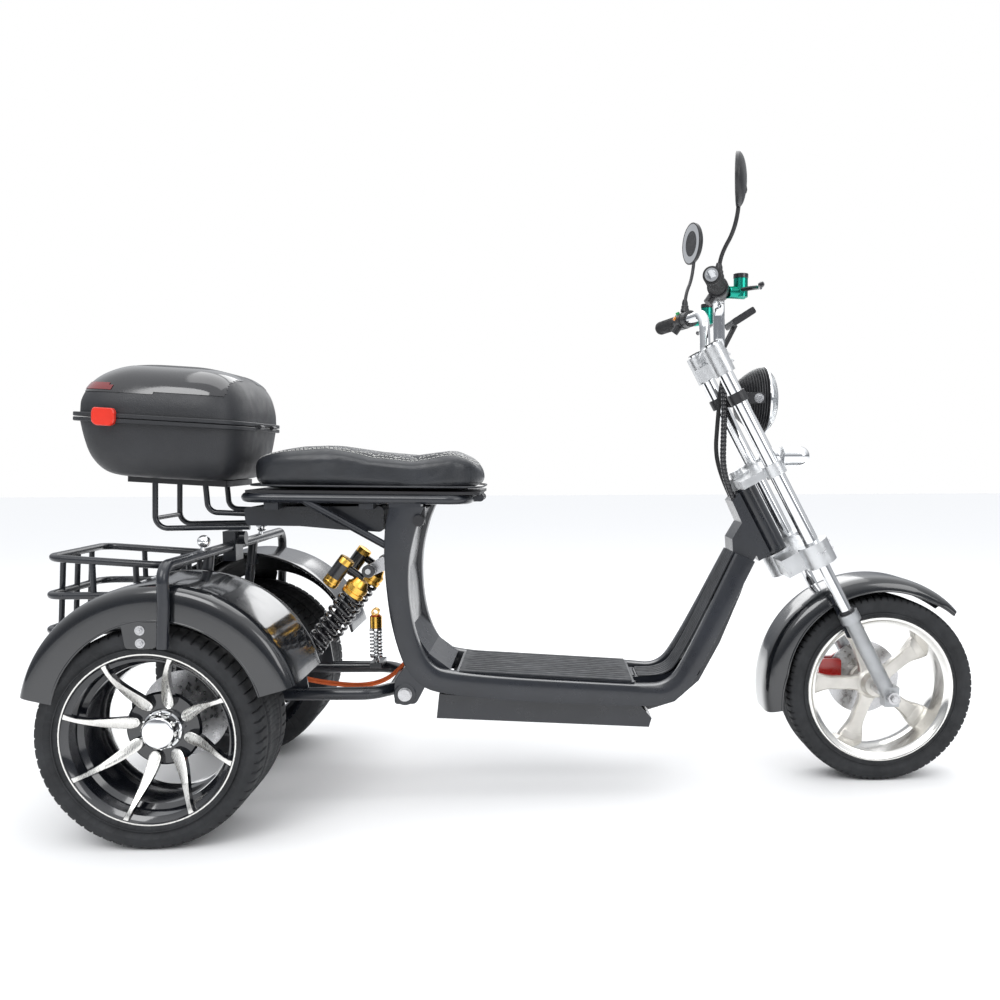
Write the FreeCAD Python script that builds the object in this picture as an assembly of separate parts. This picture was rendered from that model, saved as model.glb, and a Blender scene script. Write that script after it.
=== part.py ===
"""Electric three-wheel scooter with a step-through floor, a top box and a rear basket.

Pieces are drawn with x forward from the rear axle, y to the left and z up from a plane
axle_z below the axles, in millimetres.  save() moves them so that the tyres stand on the
ground and the origin is below the middle of the whole scooter.
"""
import FreeCAD, Part
import math
import os

os.makedirs("parts", exist_ok=True)

V = FreeCAD.Vector

# Driving dimensions
wheelbase = 1520.0
tyre_radius = 214.0
rear_overhang = 312.0           # basket's rearmost rail behind the rear axle
wall = 3.0                      # sheet and moulded walls
run_clearance = 0.05            # radial, in bearings and hinge bores

rear_tyre_width = 203.0
rear_track = 564.0              # between the middles of the rear tyres
front_tyre_width = 115.0
flange_radius = 167.5
flange_thick = 8.0
barrel_radius = 154.0
barrel_wall = 5.0
hub_radius = 32.0
spoke_count = 8
front_spoke_count = 5
front_hub_radius = 28.0
front_disc_y = 72.0
front_disc_radius = 87.0
axle_radius = 8.0
fender_gap = 43.0               # front fender's crown outside the tyre
front_fender_half = 72.0

fork_rake = 27.9                # degrees from vertical
fork_half = 107.0               # fork tubes from the middle plane
fork_offset = 60.0              # fork tubes ahead of the steering axis
fork_tube_radius = 16.5
stanchion_radius = 13.5
leg_radius = 17.0
stem_radius = 15.0
head_tube_radius = 27.0
lower_clamp_s = 336.0           # distances along the fork, from the axle up
lower_clamp_height = 52.0
middle_clamp_s = 556.0
middle_clamp_height = 28.0
upper_clamp_s = 802.0
upper_clamp_height = 66.0
bar_radius = 12.5
bar_bore_radius = 9.0
bar_bore_depth = 36.0
grip_radius = 17.0
bar_half = 378.0
bar_height = 1081.0
mirror_z = 1279.0
lamp_back = 264.0               # headlight's rim behind the front axle
lamp_z = 872.0
lamp_radius = 74.0

rail_half = 117.0               # middle of each side rail
rail_width = 34.0
head_rail_out = 68.0            # rails' outer face at the head
cover_hinge_z = 246.0
tray_half = 96.0
seat_rail_radius = 10.0
seat_rail_half = 128.0
seat_front = 622.0
seat_rear = 118.0
seat_half = 136.0
seat_base_z = 672.0
seat_hinge_x = 612.0
seat_hinge_z = 655.0

box_front = 132.0
box_rear = -222.0
box_split_z = 822.0
box_tilt = 3.5                  # degrees, nose down
rack_radius = 6.0
rack_half = 70.0
rack_bend_z = 593.0

fender_reach = 8.5              # rear fenders' skirts outside the tyres
fender_tuck = 15.5              # rear fenders' inner rims inside the tyres
fender_rise = 52.0              # rear fenders' crowns outside the tyres
fender_x = 25.0
fender_z = 248.0
hoop_radius = 11.0
beam_x = 52.0
beam_z = 548.0
basket_half = 132.0
basket_rail = 8.0
axle_beam_radius = 22.0
stub_radius = 12.0
swing_gap = 50.5                # swing arm's tubes inside the tyres
swing_inner = 80.6              # its ends at the pivots
swing_pivot_x = 451.0
swing_pivot_z = 236.0

# Places that follow from them
axle_z = 214.0
front_x = wheelbase
slope_x = front_x - 560         # foot of the front slope
cover_hinge_x = slope_x - 6
lamp_x = front_x - lamp_back
tyre_outer_y = (rear_track + rear_tyre_width) / 2
tyre_inner_y = (rear_track - rear_tyre_width) / 2
fender_side = tyre_outer_y + fender_reach
fender_inner = tyre_inner_y - fender_tuck
fender_radius = tyre_radius + fender_rise
front_fender_radius = tyre_radius + fender_gap
swing_half = tyre_inner_y - swing_gap
origin_x = (wheelbase + tyre_radius - rear_overhang) / 2
rake = math.radians(fork_rake)
up = V(-math.sin(rake), 0, math.cos(rake))
ahead = V(math.cos(rake), 0, math.sin(rake))


def fork_point(s, n=0.0, y=0.0):
    """Point s along the fork from the axle, n ahead of the tubes, y to the left."""
    return V(front_x, y, axle_z) + up * s + ahead * n


def box(x0, x1, y0, y1, z0, z1):
    """Upright box between two corners."""
    return Part.makeBox(x1 - x0, y1 - y0, z1 - z0, V(x0, y0, z0))


def rod(start, end, radius, bore=0.0):
    """Round bar or tube between two points."""
    run = end - start
    body = Part.makeCylinder(radius, run.Length, start, run)
    if bore:
        body = body.cut(Part.makeCylinder(bore, run.Length, start, run))
    return body


def cross_rod(x, z, y0, y1, radius, bore=0.0):
    """Round bar or tube along y."""
    return rod(V(x, y0, z), V(x, y1, z), radius, bore)


def rounded_path(points, radius, closed=False):
    """Wire of straight runs joined by tangent arcs, as large as the runs allow."""
    count = len(points)
    corners = range(count) if closed else range(1, count - 1)
    cuts = {}
    for i in corners:
        here = points[i]
        back = points[i - 1] - here
        onward = points[(i + 1) % count] - here
        turn = math.pi - back.getAngle(onward)
        if turn < 0.01:
            continue
        reach = min(radius * math.tan(turn / 2), 0.48 * min(back.Length, onward.Length))
        first = here + back.normalize() * reach
        last = here + onward.normalize() * reach
        bend = reach / math.tan(turn / 2)
        inward = (back + onward).normalize()
        centre = here + inward * (bend / math.cos(turn / 2))
        cuts[i] = (first, centre - inward * bend, last)
    edges = []
    spans = count if closed else count - 1
    for i in range(spans):
        j = (i + 1) % count
        start = cuts[i][2] if i in cuts else points[i]
        end = cuts[j][0] if j in cuts else points[j]
        if (end - start).Length > 1e-4:
            edges.append(Part.LineSegment(start, end).toShape())
        if j in cuts:
            edges.append(Part.Arc(*cuts[j]).toShape())
    return Part.Wire(Part.__sortEdges__(edges))


def tube(points, radius, bend):
    """Round bar swept along a rounded path."""
    path = rounded_path(points, bend)
    edge = path.OrderedEdges[0]
    start = edge.valueAt(edge.FirstParameter)
    along = edge.tangentAt(edge.FirstParameter)
    if edge.Orientation == "Reversed":
        start = edge.valueAt(edge.LastParameter)
        along = edge.tangentAt(edge.LastParameter) * -1
    ring = Part.Wire(Part.makeCircle(radius, start, along))
    return path.makePipeShell([ring], True, True)


def loop_tube(corners, radius, bend):
    """Closed loop of round bar through four corners, as two halves that meet."""
    a, b, c, d = corners
    first = (a + d) * 0.5
    last = (b + c) * 0.5
    return fused([tube([first, a, b, last], radius, bend), tube([last, c, d, first], radius, bend)])


def plate(points, y0, y1, radius=0.0):
    """Side outline of (x, z) points, with rounded corners, from y0 to y1."""
    corners = [V(x, y0, z) for x, z in points]
    wire = rounded_path(corners, radius, True) if radius else Part.makePolygon(corners + corners[:1])
    return Part.Face(wire).extrude(V(0, y1 - y0, 0))


def turned(section, x, z, radius=0.0, start=0.0, sweep=360.0):
    """Section of (radius, y) points turned about an axle along y at (x, z)."""
    corners = [V(x + r, y, z) for r, y in section]
    wire = rounded_path(corners, radius, True) if radius else Part.makePolygon(corners + corners[:1])
    face = Part.Face(wire)
    face.rotate(V(x, 0, z), V(0, -1, 0), start)
    return face.revolve(V(x, 0, z), V(0, -1, 0), sweep)


def fused(shapes):
    """One solid from pieces that meet."""
    body = shapes[0]
    if len(shapes) > 1:
        body = body.multiFuse(shapes[1:])
    return body.removeSplitter()


def mirrored(shape):
    """The same piece on the other side of the scooter."""
    return shape.mirror(V(0, 0, 0), V(0, 1, 0))


def solids(*shapes):
    """Separate solids kept together in one piece of the list."""
    found = []
    for shape in shapes:
        found.extend(shape.Solids)
    return Part.makeCompound(found)


def from_slope(points):
    """Side points measured from the foot of the front slope, moved to their place."""
    return [(slope_x + x, z) for x, z in points]


def save(name, shape):
    """Moves a piece to the scooter's origin, with the tyres on the ground, and writes it."""
    placed = shape.copy()
    placed.translate(V(-origin_x, 0, tyre_radius - axle_z))
    placed.exportStep("parts/" + name + ".step")


# --- wheels ---------------------------------------------------------------

def rear_wheel():
    """Left rear tyre, rim and brake disc."""
    middle = rear_track / 2
    out = middle + rear_tyre_width / 2
    inn = middle - rear_tyre_width / 2
    lip_out = out - 9
    lip_in = inn + 9
    bead_out = lip_out - flange_thick
    bead_in = lip_in + flange_thick
    tyre = turned([
        (barrel_radius, bead_in), (barrel_radius, bead_out), (flange_radius + 2, bead_out),
        (flange_radius + 7, out - 4), (tyre_radius - 24, out), (tyre_radius - 4, out - 20),
        (tyre_radius, middle + 50), (tyre_radius, middle - 50), (tyre_radius - 4, inn + 20),
        (tyre_radius - 24, inn), (flange_radius + 7, inn + 4), (flange_radius + 2, bead_in)],
        0, axle_z)
    hollow = barrel_radius - barrel_wall
    barrel = turned([
        (hollow, lip_in), (hollow, lip_out), (flange_radius, lip_out), (flange_radius, bead_out),
        (barrel_radius, bead_out), (barrel_radius, bead_in), (flange_radius, bead_in),
        (flange_radius, lip_in)], 0, axle_z)
    hub_face = lip_out - 80
    parts = [barrel, cross_rod(0, axle_z, hub_face - 12, hub_face, 60),
             cross_rod(0, axle_z, lip_in - 18, hub_face, hub_radius),
             cross_rod(0, axle_z, hub_face, hub_face + 35, 34)]
    spoke = plate([(30, hub_face - 10), (30, hub_face), (hollow - 4, lip_out - 4),
                   (hollow + 2, lip_out - 4), (hollow + 2, lip_out - 26)], -8, 8)
    spoke.rotate(V(0, 0, 0), V(1, 0, 0), -90)
    spoke.translate(V(0, 0, axle_z))
    for k in range(spoke_count):
        blade = spoke.copy()
        blade.rotate(V(0, 0, axle_z), V(0, 1, 0), 360.0 * k / spoke_count)
        parts.append(blade)
    rim = fused(parts)
    rim = rim.cut(cross_rod(0, axle_z, lip_in - 19, hub_face + 12, stub_radius + run_clearance))
    disc_y = lip_in - 14
    disc = cross_rod(0, axle_z, disc_y, disc_y + 4, 90, hub_radius)
    return tyre, rim, disc, disc_y, hub_face


rear_tyre, rear_rim, rear_disc, rear_disc_y, hub_face = rear_wheel()
for name, piece in (("rear_tyre_", rear_tyre), ("rear_rim_", rear_rim), ("rear_disc_", rear_disc)):
    save(name + "left", piece)
    save(name + "right", mirrored(piece))


def front_wheel():
    """Front tyre, five-spoke rim and brake disc."""
    half = front_tyre_width / 2
    lip = half - 3
    bead = lip - flange_thick
    tyre = turned([
        (barrel_radius, -bead), (barrel_radius, bead), (flange_radius + 2, bead),
        (flange_radius + 6, half - 2), (tyre_radius - 22, half), (tyre_radius - 8, half - 12),
        (tyre_radius, half - 32), (tyre_radius, 32 - half), (tyre_radius - 8, 12 - half),
        (tyre_radius - 22, -half), (flange_radius + 6, 2 - half), (flange_radius + 2, -bead)],
        front_x, axle_z)
    hollow = barrel_radius - barrel_wall
    barrel = turned([
        (hollow, -lip), (hollow, lip), (flange_radius, lip), (flange_radius, bead),
        (barrel_radius, bead), (barrel_radius, -bead), (flange_radius, -bead),
        (flange_radius, -lip)], front_x, axle_z)
    parts = [barrel, cross_rod(front_x, axle_z, -20, front_disc_y + 5, front_hub_radius)]
    for k in range(front_spoke_count):
        spoke = plate([(front_x - 15, axle_z), (front_x - 25, axle_z + hollow + 1),
                       (front_x + 25, axle_z + hollow + 1), (front_x + 15, axle_z)], 8, 30)
        spoke.rotate(V(front_x, 0, axle_z), V(0, 1, 0), 360.0 * k / front_spoke_count)
        parts.append(spoke)
    rim = fused(parts)
    rim = rim.cut(cross_rod(front_x, axle_z, -60, 100, axle_radius + run_clearance))
    disc = cross_rod(front_x, axle_z, front_disc_y, front_disc_y + 4, front_disc_radius,
                     front_hub_radius)
    return tyre, rim, disc


front_tyre, front_rim, front_disc = front_wheel()
save("front_tyre", front_tyre)
save("front_rim", front_rim)
save("front_brake_disc", front_disc)

# --- fork and steering ----------------------------------------------------

tube_top = upper_clamp_s + upper_clamp_height + 4
collar_s = 204.0
leg_inner = fork_half - leg_radius


def fork_tube(side):
    """Chrome tube with its thinner stanchion below the lower clamp."""
    y = side * fork_half
    thick = rod(fork_point(lower_clamp_s, 0, y), fork_point(tube_top, 0, y), fork_tube_radius)
    thin = rod(fork_point(collar_s - 8, 0, y), fork_point(lower_clamp_s, 0, y), stanchion_radius)
    return fused([thick, thin])


fork_tubes = [fork_tube(1), fork_tube(-1)]
front_axle = fused([
    cross_rod(front_x, axle_z, -fork_half - leg_radius - 12, fork_half + leg_radius + 12, axle_radius),
    cross_rod(front_x, axle_z, fork_half + leg_radius, fork_half + leg_radius + 9, 13),
    cross_rod(front_x, axle_z, -fork_half - leg_radius - 9, -fork_half - leg_radius, 13),
    cross_rod(front_x, axle_z, front_disc_y + 6, leg_inner - 1, 13),
    cross_rod(front_x, axle_z, 1 - leg_inner, -21, 13)])


def fork_leg(side):
    """Cast leg with a flat foot at the axle and a collar at its top."""
    y = side * fork_half
    leg = rod(fork_point(-20, 0, y), fork_point(collar_s, 0, y), leg_radius)
    collar = rod(fork_point(collar_s - 14, 0, y), fork_point(collar_s + 8, 0, y), 22.5)
    foot = box(front_x - 16, front_x + 16, y - leg_radius + 0.5, y + leg_radius - 0.5,
               axle_z - 22, axle_z + 22)
    return fused([leg, collar, foot]).cut(front_axle).cut(fork_tubes[0]).cut(fork_tubes[1])


save("fork_tubes", solids(*fork_tubes))
fork_legs = [fork_leg(1), fork_leg(-1)]
save("fork_legs", solids(*fork_legs))
save("front_axle", front_axle)


def yoke(s, height, boss, stem_boss):
    """Clamp round both fork tubes and the stem."""
    parts = []
    for side in (1, -1):
        y = side * fork_half
        parts.append(rod(fork_point(s, 0, y), fork_point(s + height, 0, y), boss))
    parts.append(rod(fork_point(s, -fork_offset), fork_point(s + height, -fork_offset), stem_boss))
    bridge = [fork_point(s + 5, -fork_offset - 18, -fork_half), fork_point(s + 5, 14, -fork_half),
              fork_point(s + height - 5, 14, -fork_half),
              fork_point(s + height - 5, -fork_offset - 18, -fork_half)]
    face = Part.Face(Part.makePolygon(bridge + bridge[:1]))
    parts.append(face.extrude(V(0, 2 * fork_half, 0)))
    return fused(parts).cut(fork_tubes[0]).cut(fork_tubes[1])


stem = rod(fork_point(lower_clamp_s + 4, -fork_offset),
           fork_point(middle_clamp_s + middle_clamp_height + 12, -fork_offset), stem_radius)
lower_clamp = fused([yoke(lower_clamp_s, lower_clamp_height, 34, 34), stem])
middle_clamp = yoke(middle_clamp_s, middle_clamp_height, 23, 30).cut(stem)
save("lower_clamp", lower_clamp)
save("middle_clamp", middle_clamp)

bar_seat = fork_point(upper_clamp_s + 44, 12)
half_bar = [V(bar_seat.x, 0, bar_seat.z), V(bar_seat.x, 84, bar_seat.z),
            V(bar_seat.x - 4, 92, bar_height - 3), V(bar_seat.x - 33, 240, bar_height),
            V(bar_seat.x - 71, bar_half, bar_height)]
bar_points = [V(p.x, -p.y, p.z) for p in reversed(half_bar[1:])] + half_bar[1:]
grip_line = (half_bar[4] - half_bar[3]).normalize()
bar_bore = rod(half_bar[4] - grip_line * bar_bore_depth, half_bar[4], bar_bore_radius)
handlebar = tube(bar_points, bar_radius, 34)
save("handlebar", handlebar.cut(bar_bore).cut(mirrored(bar_bore)))


def upper_clamp():
    """Casting that holds the tops of the fork tubes and the handlebar's seat."""
    parts = []
    for side in (1, -1):
        y = side * fork_half
        parts.append(rod(fork_point(upper_clamp_s, 0, y),
                         fork_point(upper_clamp_s + upper_clamp_height, 0, y), 23))
        parts.append(rod(V(bar_seat.x, side * 66, bar_seat.z), V(bar_seat.x, side * 30, bar_seat.z), 23))
    corners = [fork_point(upper_clamp_s + 4, -20, -fork_half), fork_point(upper_clamp_s + 4, 20, -fork_half),
               fork_point(upper_clamp_s + 36, 20, -fork_half),
               fork_point(upper_clamp_s + 36, -20, -fork_half)]
    parts.append(Part.Face(Part.makePolygon(corners + corners[:1])).extrude(V(0, 2 * fork_half, 0)))
    return fused(parts).cut(fork_tubes[0]).cut(fork_tubes[1]).cut(handlebar)


upper_yoke = upper_clamp()
save("upper_clamp", upper_yoke)

grip_end = half_bar[4]


def along_grip(distance):
    """Point on the left grip's axis, measured in from the bar end."""
    return grip_end - grip_line * distance


grip = rod(along_grip(4), along_grip(126), grip_radius).cut(handlebar)
save("grips", solids(grip, mirrored(grip)))


def bar_control(side):
    """Switch pod, brake lever and its reservoir, for the left hand."""
    pod = rod(along_grip(130), along_grip(166), 21)
    clamp = rod(along_grip(170), along_grip(194), 20)
    root = along_grip(182)
    cylinder = rod(root + V(14, 10, -4), root + V(52, -14, -2), 13)
    cup = rod(root + V(44, -6, -12), root + V(44, -6, 36), 15)
    pivot = root + V(40, 0, 2)
    lever = tube([pivot, pivot + V(34, 40, 0), along_grip(96) + V(88, 0, -8),
                  along_grip(14) + V(92, 0, -14)], 5, 22)
    control = fused([clamp, cylinder, cup, lever])
    return solids(pod.cut(handlebar), control.cut(handlebar).cut(pod))


bar_controls = bar_control(1)
save("bar_controls", solids(bar_controls, mirrored(bar_controls)))


def mirror_piece():
    """Left mirror: clamp, stem and oval head."""
    foot = along_grip(158) + V(0, 0, 22)
    top = V(foot.x + 22, 268, 1236)
    stem_rod = tube([foot, foot + V(2, 2, 40), top + V(0, 0, -50), top], 4, 60)
    boot = Part.makeCone(11, 5, 30, foot + V(0, 0, -1), V(0, 0, 1))
    head = Part.makeSphere(1.0, V(0, 0, 0))
    squeeze = FreeCAD.Matrix()
    squeeze.scale(V(16, 58, 52))
    head = head.transformGeometry(squeeze)
    head.rotate(V(0, 0, 0), V(0, 0, 1), 14)
    head.translate(V(foot.x + 26, 282, mirror_z))
    return fused([stem_rod, boot, head]).cut(bar_controls)


left_mirror = mirror_piece()
save("mirrors", solids(left_mirror, mirrored(left_mirror)))

display_x = front_x - 344
display = plate([(display_x, 1032), (display_x + 48, 1062), (display_x + 40, 1075), (display_x - 8, 1045)],
                -46, 46, 4)
display_stay = rod(V(bar_seat.x + 14, 0, bar_seat.z), V(display_x + 10, 0, 1040), 6).cut(display)
save("display", fused([display, display_stay.cut(handlebar).cut(upper_yoke)]))

# --- headlight, signals and front fender -----------------------------------


def headlight_shell():
    """Open bowl with a rim, turned about its own axis, with two side lugs."""
    section = [(lamp_x - 74, 8), (lamp_x - 66, 40), (lamp_x - 40, 64), (lamp_x - 12, lamp_radius - 2),
               (lamp_x, lamp_radius), (lamp_x, lamp_radius - 6), (lamp_x - 14, lamp_radius - 8),
               (lamp_x - 38, 58), (lamp_x - 60, 36), (lamp_x - 66, 8), (lamp_x - 66, 0), (lamp_x - 74, 0)]
    corners = [V(x, 0, lamp_z + r) for x, r in section]
    face = Part.Face(Part.makePolygon(corners + corners[:1]))
    shell = face.revolve(V(lamp_x, 0, lamp_z), V(1, 0, 0), 360)
    lug = cross_rod(lamp_x - 34, lamp_z, 58, 82, 9)
    inner = Part.makeSphere(57, V(lamp_x - 4, 0, lamp_z))
    return fused([shell, lug.cut(inner), mirrored(lug.cut(inner))])


headlight = headlight_shell()
lens_bulge = 26.0
lens_radius = lamp_radius - 7
lens_curve = (lens_radius ** 2 + lens_bulge ** 2) / (2 * lens_bulge)
lens = Part.makeSphere(lens_curve, V(lamp_x + lens_bulge - lens_curve, 0, lamp_z)).common(
    rod(V(lamp_x - 3, 0, lamp_z), V(lamp_x + 60, 0, lamp_z), lens_radius + 0.2))
save("headlight_lens", lens.cut(headlight))


def lamp_bracket():
    """Band round the left fork tube with an arm to the headlight's lug."""
    s = (lamp_z - axle_z) / math.cos(rake)
    band = rod(fork_point(s - 12, 0, fork_half), fork_point(s + 12, 0, fork_half), 21)
    arm = plate([(fork_point(s).x - 10, lamp_z - 12), (lamp_x - 20, lamp_z - 12),
                 (lamp_x - 20, lamp_z + 12), (fork_point(s).x - 10, lamp_z + 12)], 83, 89, 8)
    bolt = cross_rod(lamp_x - 34, lamp_z, 82, 97, 7)
    return fused([band, arm, bolt]).cut(fork_tubes[0])


left_bracket = lamp_bracket()
save("headlight", fused([headlight, left_bracket, mirrored(left_bracket)]))


def front_signal():
    """Left bullet-shaped signal on a short stalk from the middle clamp."""
    centre = V(front_x - 224, 100, 746)
    bullet = rod(centre + V(-24, 0, 0), centre + V(14, 0, 0), 21)
    nose = Part.makeSphere(21, centre + V(14, 0, 0))
    stalk = rod(centre + V(-10, 0, -8), fork_point(middle_clamp_s + 14, 20, fork_half - 4), 6)
    return fused([bullet, nose, stalk]).cut(middle_clamp).cut(fork_tubes[0])


left_signal = front_signal()
save("front_signals", solids(left_signal, mirrored(left_signal)))

fender_cx = front_x - 12
fender_cz = axle_z + 4


def front_fender():
    """Arched shell over the front wheel with lugs to the fork legs."""
    r = front_fender_radius
    h = front_fender_half
    section = [(r, -h * 0.55), (r, h * 0.55), (r - 9, h * 0.88), (r - 30, h), (r - 30, h - wall),
               (r - 9 - wall, h * 0.84), (r - wall, h * 0.5), (r - wall, -h * 0.5),
               (r - 9 - wall, -h * 0.84), (r - 30, wall - h), (r - 30, -h), (r - 9, -h * 0.88)]
    shell = turned(section, fender_cx, fender_cz, 0, 43, 149)
    tip = fork_point(182, 0)
    lugs = []
    lower = fork_point(150, -6)
    reach = leg_inner + 1.5
    for side in (1, -1):
        lugs.append(rod(V(tip.x, side * (h - wall), tip.z), V(tip.x, side * reach, tip.z), 7))
        lugs.append(rod(V(lower.x, side * (h - wall), lower.z), V(lower.x, side * reach, lower.z), 6))
        lugs.append(plate([(tip.x - 44, tip.z + 62), (lower.x - 10, lower.z - 8),
                           (lower.x + 10, lower.z - 4), (tip.x + 10, tip.z + 2), (tip.x - 6, tip.z + 66)],
                          *sorted((side * (h - wall), side * h))))
    body = fused([shell] + lugs).cut(fork_legs[0]).cut(fork_legs[1])
    return body.cut(fork_tubes[0]).cut(fork_tubes[1])


save("front_fender", front_fender())


def caliper():
    """Front brake caliper astride the disc, with its arm to the left leg."""
    back = front_x - 104
    block = plate([(back, 196), (back + 48, 196), (back + 48, 262), (back, 262)], 60, 96, 8)
    slot = box(back - 16, back + 50, front_disc_y - 6, front_disc_y + 10, 150, 300)
    leg_spot = fork_point(64, 0)
    arm = plate([(back + 24, 206), (leg_spot.x, leg_spot.z - 14), (leg_spot.x, leg_spot.z + 16),
                 (back + 24, 258)], 88, 96, 3)
    bridge = box(back - 6, back + 8, 60, 96, 200, 258)
    return fused([block.cut(slot), bridge, arm]).cut(fork_legs[0])


save("front_caliper", caliper())

# --- frame ------------------------------------------------------------------

head_rear = -fork_offset - head_tube_radius - 24
panel_half = 46.0


def side_rail():
    """Left side rail: down from the seat, along the floor and up the slope, leaning in to the head."""
    y0 = rail_half - rail_width / 2
    y1 = rail_half + rail_width / 2
    outer = [(424, 640), (412, 580), (412, 500), (424, 366), (468, 262), (544, 226)]
    outer += from_slope([(0, 200), (86, 214), (136, 262), (262, 512)])
    inner = [(500, 640), (474, 585), (458, 500), (468, 372), (506, 312), (552, 276)]
    inner += from_slope([(0, 248), (70, 254), (102, 290), (220, 530)])
    tall = plate(outer + list(reversed(inner)), 0, y1)
    plan = [V(380, y0, 100), V(380, y1, 100), V(slope_x, y1, 100), V(slope_x + 280, head_rail_out, 100),
            V(slope_x + 280, head_rail_out - 24, 100), V(slope_x, y0, 100)]
    lane = Part.Face(Part.makePolygon(plan + plan[:1])).extrude(V(0, 0, 600))
    pivot = cross_rod(swing_pivot_x, swing_pivot_z, y0 - 4, y1 + 6, 15)
    gusset = plate([(428, 213), (474, 213), (500, 262), (452, 300), (428, 264)], y0, y1)
    return fused([tall.common(lane), gusset]).cut(pivot)


left_rail = side_rail()
right_rail = mirrored(left_rail)
rail_inner = rail_half - rail_width / 2


def head_frame():
    """Head tube with its box, the front panel and the cross tubes that join the rails."""
    s0 = lower_clamp_s + lower_clamp_height + 2
    s1 = middle_clamp_s - 2
    head_tube = rod(fork_point(s0, -fork_offset), fork_point(s1, -fork_offset), head_tube_radius)
    corners = [fork_point(s0 + 4, -fork_offset - 20, -44), fork_point(s0 + 4, head_rear, -44),
               fork_point(s1 - 12, head_rear + 8, -44), fork_point(s1 - 2, -fork_offset - 20, -44)]
    cheek = Part.Face(Part.makePolygon(corners + corners[:1])).extrude(V(0, 88, 0))
    outline = [(28, 172), (88, 190), (143, 238), (190, 325), (236, 436), (262, 512), (220, 530),
               (198, 478), (158, 372), (120, 290), (86, 262), (70, 254), (0, 248), (0, 200)]
    inside = [(90, 204), (134, 246), (180, 332), (228, 446), (246, 500), (228, 508), (206, 462),
              (166, 364), (126, 280), (92, 252), (74, 244), (40, 240), (40, 196)]
    panel = plate(from_slope(outline), -panel_half, panel_half)
    hollow = plate(from_slope(inside), 4 - panel_half, panel_half - 4)
    ties = [cross_rod(slope_x + 40, 222, -rail_inner - 2, rail_inner + 2, 12),
            cross_rod(slope_x + 130, 268, -86, 86, 10),
            cross_rod(slope_x + 236, 500, -50, 50, 12)]
    skin = panel.cut(hollow)
    bore = rod(fork_point(s0 - 5, -fork_offset), fork_point(s1 + 5, -fork_offset),
               stem_radius + run_clearance)
    gusset = plate(from_slope([(220, 500), (262, 506), (282, 540), (242, 604), (216, 560)]), -44, 44)
    return fused([head_tube, cheek, gusset, skin] + ties).cut(bore).cut(left_rail).cut(right_rail)


head = head_frame()
save("frame_rail_left", left_rail)
save("frame_rail_right", right_rail)


def seat_post():
    """Closed cover between the rails from the floor to the seat, with its inner ties."""
    return plate([(430, 630), (424, 500), (434, 366), (474, 274), (540, 262), (546, 282), (500, 318),
                  (462, 376), (452, 500), (466, 585), (486, 630)], -rail_inner, rail_inner)


post_solid = seat_post()
post_hollow = plate([(436, 620), (430, 500), (440, 368), (478, 282), (520, 272), (492, 312),
                     (454, 376), (446, 500), (460, 586), (478, 620)], -rail_inner + wall, rail_inner - wall)
save("seat_post", post_solid.cut(post_hollow))


def battery_tray():
    """Open pan hung below the floor between the rails."""
    outline = [(560, 222), (520, 226), (514, 172)] + from_slope([(24, 146), (30, 166), (2, 198)])
    inside = [(560, 260), (526, 230), (520, 177)] + from_slope([(18, 151), (22, 166), (2, 230)])
    outer = plate(outline, -tray_half, tray_half)
    inner = plate(inside, wall - tray_half, tray_half - wall)
    flange = plate([(560, 225), (560, 222)] + from_slope([(-2, 197), (-2, 200)]), -rail_inner, rail_inner)
    return fused([outer, flange]).cut(inner).cut(left_rail).cut(right_rail)


tray = battery_tray()
save("battery_tray", tray.cut(head).cut(post_solid))
battery = plate([(540, 248), (540, 176.5)] + from_slope([(-10, 153.5), (-10, 226)]),
                wall - tray_half + 2, tray_half - wall - 2)
battery = battery.cut(tray)
save("battery_block", battery)


def cover():
    """Floor cover hinged at its front edge, resting on the rails' inner ledge."""
    plate_body = plate([(560, 279), (560, 276)] + from_slope([(-10, 249.5), (-10, 252.5)]),
                       -rail_half + 2, rail_half - 2)
    rib = plate([(580, 275), (580, 260)] + from_slope([(-30, 236), (-30, 251)]), 84, 87)
    knuckle = cross_rod(cover_hinge_x, cover_hinge_z, -40, 40, 5)
    web = box(cover_hinge_x - 10, cover_hinge_x, -40, 40, cover_hinge_z - 1, cover_hinge_z + 4)
    body = fused([plate_body, rib, mirrored(rib), knuckle, web])
    return body.cut(cross_rod(cover_hinge_x, cover_hinge_z, -41, 41, 2.5 + run_clearance))


save("floor_cover", cover())
save("floor_mat", plate([(566, 282.1), (566, 279.1)] + from_slope([(-16, 253.4), (-16, 256.4)]),
                        -rail_half + 6, rail_half - 6))
hinge_pin = cross_rod(cover_hinge_x, cover_hinge_z, -48, 48, 2.5)
hinge_ears = fused([box(cover_hinge_x - 5, cover_hinge_x + 7, 41, 48, cover_hinge_z - 6, cover_hinge_z + 3),
                    box(cover_hinge_x - 5, cover_hinge_x + 7, -48, -41, cover_hinge_z - 6, cover_hinge_z + 3),
                    hinge_pin])
save("head_frame", fused([head, hinge_ears]))
mat_outline = [(4, 248.3), (71, 254.3), (103, 290.3), (220, 530.3), (216, 532.3), (99, 293.3),
               (69, 257.3), (4, 251.3)]
save("front_mat", plate(from_slope(mat_outline), -panel_half, panel_half).cut(head))

# --- seat and its frame -------------------------------------------------------


pan_fall = 7.0                  # seat pan's front edge below its rear edge


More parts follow.
